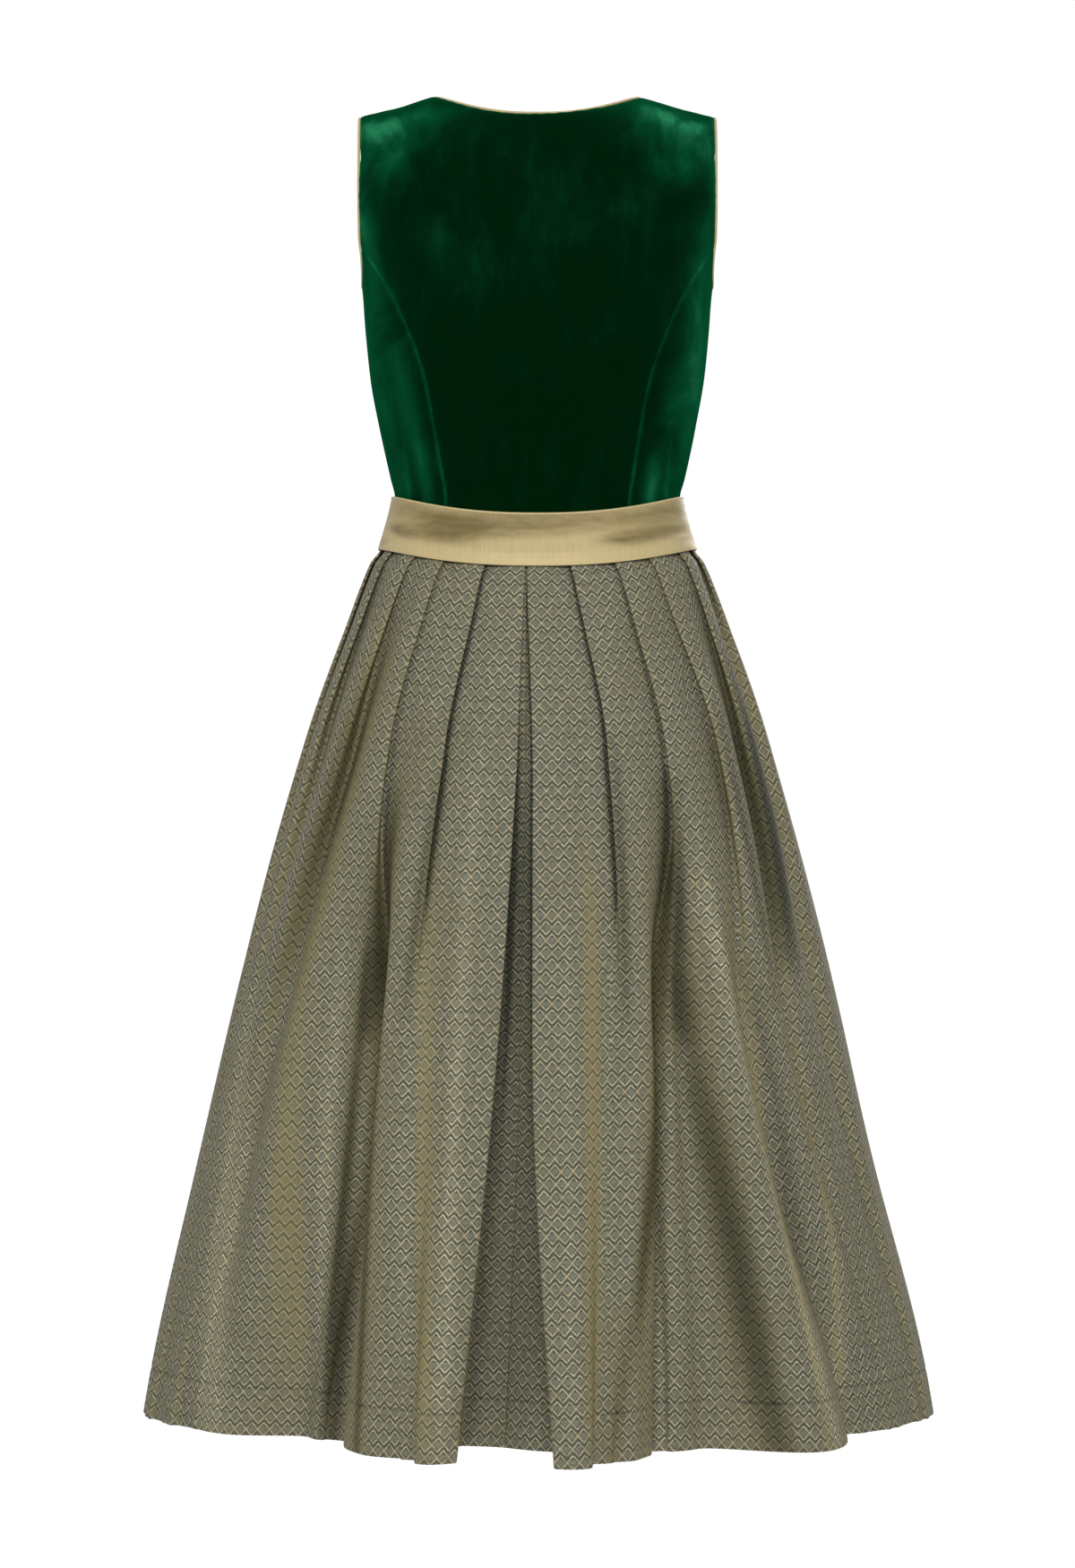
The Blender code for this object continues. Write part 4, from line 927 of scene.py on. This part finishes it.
# ---- materials ----
class Term:
    """A node's output in the formula of a finish: signs and methods add the next nodes."""

    def __init__(self, finish, socket):
        self.finish, self.socket = finish, socket

    def math(self, operation, *others):
        return self.finish.node("Math", self, *others, operation=operation)

    def __add__(self, other):
        return self.math("ADD", other)

    def __sub__(self, other):
        return self.math("SUBTRACT", other)

    def __rsub__(self, other):
        return self.finish.node("Math", other, self, operation="SUBTRACT")

    def __mul__(self, other):
        return self.math("MULTIPLY", other)

    def __truediv__(self, other):
        return self.math("DIVIDE", other)

    def __neg__(self):
        return self.math("MULTIPLY", -1.0)

    def __abs__(self):
        return self.math("ABSOLUTE")

    def scaled(self, by, plus):
        """This times by, and plus on top."""
        return self.math("MULTIPLY_ADD", by, plus)

    def ramp(self, low, high):
        """0 below low, 1 above high and smooth between them."""
        return self.finish.node("MapRange", self, low, high, 0.0, 1.0, interpolation_type="SMOOTHSTEP")


class Finish:
    """A material built node by node: each call adds nodes and gives back the last one's output."""

    def __init__(self, name, **values):
        self.material = bpy.data.materials.new(name)
        self.material.use_nodes = True
        self.tree = self.material.node_tree
        self.surface = self.tree.nodes["Principled BSDF"].inputs
        for socket, value in values.items():
            self.feed(self.surface[socket.replace("_", " ")], value)

    def feed(self, socket, value):
        """Link a term to a socket, or set its number or colour; None leaves it alone."""
        if isinstance(value, Term):
            self.tree.links.new(value.socket, socket)
        elif value is not None:
            socket.default_value = (*value, 1) if socket.type == "RGBA" else value

    def node(self, kind, *inputs, out=0, **settings):
        made = self.tree.nodes.new("ShaderNode" + kind)
        for key, value in settings.items():
            setattr(made, key, value)
        for socket, value in zip(made.inputs, inputs):
            self.feed(socket, value)
        return Term(self, made.outputs[out])

    def cloth(self):
        """The two cloth coordinates in metres, across and up."""
        across = self.node("SeparateXYZ", self.node("UVMap", uv_map="cloth"))
        return across, Term(self, across.socket.node.outputs["Y"])

    def mark(self, name):
        """A named number that each point of the piece carries."""
        return self.node("Attribute", attribute_name=name, out="Fac")

    def place(self, tall=1.0):
        """The place on the dress in metres, its height times a scale."""
        return self.tinted(self.node("TexCoord", out="Object"), (1, 1, tall))

    def noise(self, where, scale, detail=2.0, rough=0.5, distortion=0.0):
        return self.node("TexNoise", where, None, scale, detail, rough, None, None, None, distortion)

    def threads(self, across, up, counts, rough):
        """Noise drawn out along the cloth, from its coordinates and the threads in a metre."""
        return self.noise(self.node("CombineXYZ", across * counts[0], up * counts[1], 0.0), 1.0, 2, rough)

    def layers(self, colour, *more):
        """A colour with more laid over it in turn, each given as (share, colour)."""
        for share, over in more:
            colour = self.node("Mix", share, *[None] * 5, colour, over, out=2, data_type="RGBA")
        return colour

    def tinted(self, colour, tint):
        """A colour times another."""
        return self.node("VectorMath", colour, tint, operation="MULTIPLY")

    def finish(self, colour, height, distance, strength=1.0, roughness=None):
        """Colour, roughness and bump onto the surface."""
        bumped = self.node("Bump", strength, distance, None, height)
        for name, value in (("Base Color", colour), ("Roughness", roughness), ("Normal", bumped)):
            self.feed(self.surface[name], value)
        return self.material


def velvet_finish():
    """Short pile: dark square on, light at edges by its sheen; painted sheen where it lies the other way and
    at seams.
    """
    sheen = {"Sheen_Weight": 0.4, "Sheen_Roughness": 0.5, "Sheen_Tint": VELVET_SHEEN}
    made = Finish("velvet_pile", Specular_IOR_Level=0.0, **sheen)
    cloud = made.noise(made.place(0.8), 15, 3, 0.55, 0.8)
    brushed = made.noise(made.place(0.35), 60, 3, 0.6, 0.5)
    pile = made.noise(made.place(), 620, 2, 0.6)
    # light: the painted sheen of the pile, with the pile's own uneven nap
    light = made.mark("painted_sheen") * cloud.ramp(0.3, 0.7).scaled(1.1, 0.35)
    light = light + brushed.ramp(0.4, 0.8).scaled(0.1, -0.02) + cloud.ramp(0.42, 0.68) * 0.03
    colour = made.layers(
        VELVET_DARK,
        (light.ramp(0.0, 0.45), VELVET_MID),
        (light.ramp(0.35, 1.15), VELVET_PAINTED_SHEEN),
        (pile.ramp(0.35, 0.75) * 0.3, VELVET_DARK),
    )
    return made.finish(colour, pile + brushed * 0.5, 0.0004, 0.6, cloud.scaled(0.2, 0.75))


def satin_finish(name, ribs):
    """Fine long floats with a soft gloss: threads stretched along the cloth, faint slubs and painted shade.
    """
    made = Finish(name, Specular_IOR_Level=0.22, Specular_Tint=SATIN_GLOSS, Anisotropic=0.35)
    across, up = made.cloth()
    thread = made.threads(across, up, SATIN_THREADS, 0.6)
    slub = made.noise(made.place(4), 40, 3, 0.6)
    shade = made.mark("shade") * slub.scaled(0.8, 0.6)
    colour = made.layers(SATIN_DARK, (thread.ramp(0.25, 0.8), SATIN_LIGHT), (shade.ramp(0, 1.1), SATIN_PAINTED_SHADE))
    height = slub.scaled(0.5, thread)
    if ribs:
        lay = across * (TURN / ribs) + up * BIAS_SLANT
        height = lay.math("SINE").scaled(0.6, height)
    return made.finish(colour, height, 0.00018, 0.8, slub.scaled(0.15, 0.38))


def jacquard_finish():
    """Rows of upright ogees, staggered by half, woven in pale lines on dark teal.

    With a across in ogees and n the nearest row, d is the distance to that row and t the height of its
    wave, POINTED times a zigzag and the rest (1 + cos(2 pi (a + n / 2))) / 2; s = d - t / 2 is 0 on an
    ogee's outline, less inside it and more in the band between the rows, where the next row's is s = 1/2.
    """
    sheen = {"Sheen_Weight": 0.1, "Sheen_Roughness": 0.35, "Sheen_Tint": JACQUARD_SHEEN}
    made = Finish("jacquard_weave", Specular_IOR_Level=0.05, **sheen)
    across, up = made.cloth()
    thread = made.threads(across, up, JACQUARD_THREADS, 0.7)
    wobble = made.noise(made.place(), 70, 2)
    fleck = made.noise(made.place(1.4), 210, 3, 0.65).ramp(0.36, 0.62)
    speck = made.noise(made.place(), 420, 2, 0.6)
    tone = made.noise(made.place(0.7), 16, 3, 0.6)

    a, b = across * (1 / OGEE_WIDE), wobble.scaled(0.1, up * (1 / OGEE_HIGH))
    n = b.math("ROUND")
    high = b - n
    d = abs(high)
    turn = n.scaled(0.5, a) * TURN
    wave = turn.math("COSINE")
    zigzag = 1.0 - wave.math("ARCCOSINE") / math.pi
    t = zigzag.scaled(POINTED, wave.scaled(0.5, 0.5) * (1 - POINTED))
    slope = abs(turn.math("SINE")).scaled(0.8, 0.6)
    s = t.scaled(-0.5, d)
    from_middle = abs(s - 0.25)
    from_line = abs(0.25 - from_middle) / slope.scaled(slope, 1.0).math("SQRT")
    line = (1.0 - from_line.ramp(0.018, 0.07)) * thread.ramp(0.3, 0.66).scaled(0.62, 0.38)
    line = line * fleck.scaled(0.68, 0.32) * d.ramp(0.08, 0.3).scaled(0.4, 0.8)
    bar = 1.0 - (t * 2.2).math("MAXIMUM", d * 3.2).ramp(0.16, 0.42)
    inside = (-s).ramp(0.0, 0.06)
    near_bar = (1.0 - abs(s - 0.17).ramp(0.02, 0.1)) * (1.0 - t.ramp(0.1, 0.45))
    zigzag_line = 1.0 - from_middle.ramp(0.05, 0.15)

    colour = made.layers(
        BAND,
        (zigzag_line * 0.82, TEAL),
        (inside, GREY_RIM),
        ((-s).ramp(0.15, 0.26), GREY_HEART),
        (high.ramp(0.17, 0.3) * inside * 0.5, OLIVE),
        ((-high).ramp(0.17, 0.3) * inside * 0.5, TEAL_DARK),
        (near_bar * 0.85, BROWN),
        (line, PALE),
        (bar * 0.2, PALE),
        (speck.ramp(0.5, 0.7) * 0.42, TEAL_DARK),
        (speck.ramp(0.46, 0.28) * 0.3, WEFT),
        (tone.ramp(0.45, 0.75) * 0.2, KHAKI),
    )
    # painted sheen and shade: the weave painted khaki and darker where it turns from the light
    turned_sheen_colour = made.layers(
        TURNED_SHEEN, (zigzag_line * 0.55, TEAL), (line * 0.8, TURNED_SHEEN_LINE), (thread.ramp(0.35, 0.7) * 0.4, KHAKI)
    )
    turned, shade = made.mark("turned") + tone.scaled(0.3, -0.15), made.mark("shade")
    colour = made.layers(colour, (turned.ramp(0.1, 1.25) * 0.8, turned_sheen_colour))
    # painted shadow and shade where the shade mark is above 0, painted light where it is below
    for full, tint in ((1.1, IN_SHADOW), (-1.0, IN_LIGHT)):
        colour = made.layers(colour, (shade.ramp(0.0, full), made.tinted(colour, tint)))
    ribs, warps = ((along * (TURN / step)).math("SINE") for along, step in ((up, RIB), (across, WARP)))
    height = line.scaled(1.2, ribs.scaled(0.25, inside)) + speck * 0.8
    return made.finish(colour, warps.scaled(0.2, height), 0.00022, 0.8, line.scaled(-0.12, 0.62))


# Linear colours of the yarns, of painted sheen and shade, tints of painted shadow and light, and the weave's
# sizes in metres.
VELVET_DARK, VELVET_MID = (0.0001, 0.0046, 0.001), (0.0005, 0.024, 0.0088)
VELVET_PAINTED_SHEEN, VELVET_SHEEN = (0.009, 0.1, 0.043), (0.004, 0.15, 0.055)
SATIN_PAINTED_SHADE, SATIN_DARK, SATIN_LIGHT = (0.072, 0.053, 0.019), (0.215, 0.172, 0.084), (0.262, 0.213, 0.112)
PALE, WEFT = (0.298, 0.26, 0.178), (0.13, 0.12, 0.085)
KHAKI, TURNED_SHEEN, TURNED_SHEEN_LINE = (0.068, 0.057, 0.027), (0.124, 0.105, 0.049), (0.235, 0.205, 0.112)
IN_SHADOW, IN_LIGHT = (0.25, 0.27, 0.27), (1.55, 1.52, 1.48)
BAND, TEAL, TEAL_DARK = (0.084, 0.077, 0.049), (0.011, 0.024, 0.023), (0.012, 0.022, 0.019)
GREY_RIM, GREY_HEART = (0.049, 0.054, 0.04), (0.085, 0.085, 0.06)
OLIVE, BROWN = (0.07, 0.06, 0.03), (0.09, 0.07, 0.035)
JACQUARD_SHEEN, SATIN_GLOSS = (0.2, 0.17, 0.08), (1.0, 0.86, 0.58)
OGEE_WIDE, OGEE_HIGH, POINTED = 0.0107, 0.0117, 0.6
RIB, WARP = 0.00072, 0.00095
SATIN_THREADS, JACQUARD_THREADS = (1700.0, 30.0), (620.0, 900.0)  # in a metre, across and up
PIPING_RIB, BIAS_SLANT = 0.0016, 900.0  # from rib to rib of the piping, and how steeply its ribs slant


# ---- the dress ----
velvet, satin, bias = velvet_finish(), satin_finish("satin_cloth", 0), satin_finish("piping_bias", PIPING_RIB)
jacquard = jacquard_finish()
panels, cords = build_bodice()
bands, band_roll = build_waistband()
skirts = build_skirt()

for group, material, slot in (
    (panels, velvet, "velvet"),
    (cords, bias, "piping"),
    (bands, satin, "satin"),
    (skirts, jacquard, "jacquard"),
):
    for node, piece in group.items():
        piece.data.materials.append(material)
        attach(piece, "root")
        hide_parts(node)
band_roll.data.materials.append(satin)
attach(band_roll, "root")

# ---- stage, light and camera ----
FLOOR_Z, FLOOR_RADIUS, FLOOR_SIDES = -1.72, 1.75, 96
LEVEL = -0.64  # height of the camera


def area_light(name, place, aim, size, power):
    """A square soft light that faces a point."""
    light = bpy.data.lights.new(name, "AREA")
    light.size, light.energy = size, power
    thing = bpy.data.objects.new(name, light)
    thing.location = place
    way = np.array(aim, float) - np.array(place, float)
    tilt, turn = math.acos(-way[2] / np.linalg.norm(way)), math.atan2(way[1], way[0]) - QUARTER
    thing.rotation_euler = (tilt, 0, turn)
    bpy.context.scene.collection.objects.link(thing)


world = bpy.data.worlds.new("white_studio")
world.use_nodes = True
background = world.node_tree.nodes["Background"].inputs
background["Color"].default_value, background["Strength"].default_value = (1, 1, 1, 1), 1.05
bpy.context.scene.world = world
bpy.context.scene.view_settings.view_transform = "Standard"

area_light("key", (-0.1, -3.7, 1.1), (0, 0, LEVEL), 1.2, 200)
area_light("fill_behind", (1.0, 3.4, 0.9), (0, 0, LEVEL), 2.6, 120)

turn = np.linspace(0, TURN, FLOOR_SIDES, endpoint=False)
rim = join(np.cos(turn) * FLOOR_RADIUS, np.sin(turn) * FLOOR_RADIUS, np.full_like(turn, FLOOR_Z))
spoke = np.arange(FLOOR_SIDES)
fan = join(spoke, np.roll(spoke, -1), np.full_like(spoke, FLOOR_SIDES))
floor = mesh_of("studio_floor", np.append(rim, [[0, 0, FLOOR_Z]], 0), fan)
paint = Finish("floor_paint", Specular_IOR_Level=0.1)
mottle = paint.noise(paint.place(), 2.0, 2)
grey = paint.layers((0.88, 0.88, 0.88), (mottle, (0.9, 0.9, 0.9)))
floor.data.materials.append(paint.finish(grey, mottle, 0.0001))

camera = bpy.data.objects.new("camera", bpy.data.cameras.new("camera"))
camera.data.lens, camera.data.sensor_width = 97.1, 36
camera.location, camera.rotation_euler = (0, -4.0, LEVEL), (QUARTER, 0, 0)
bpy.context.scene.collection.objects.link(camera)
bpy.context.scene.camera = camera
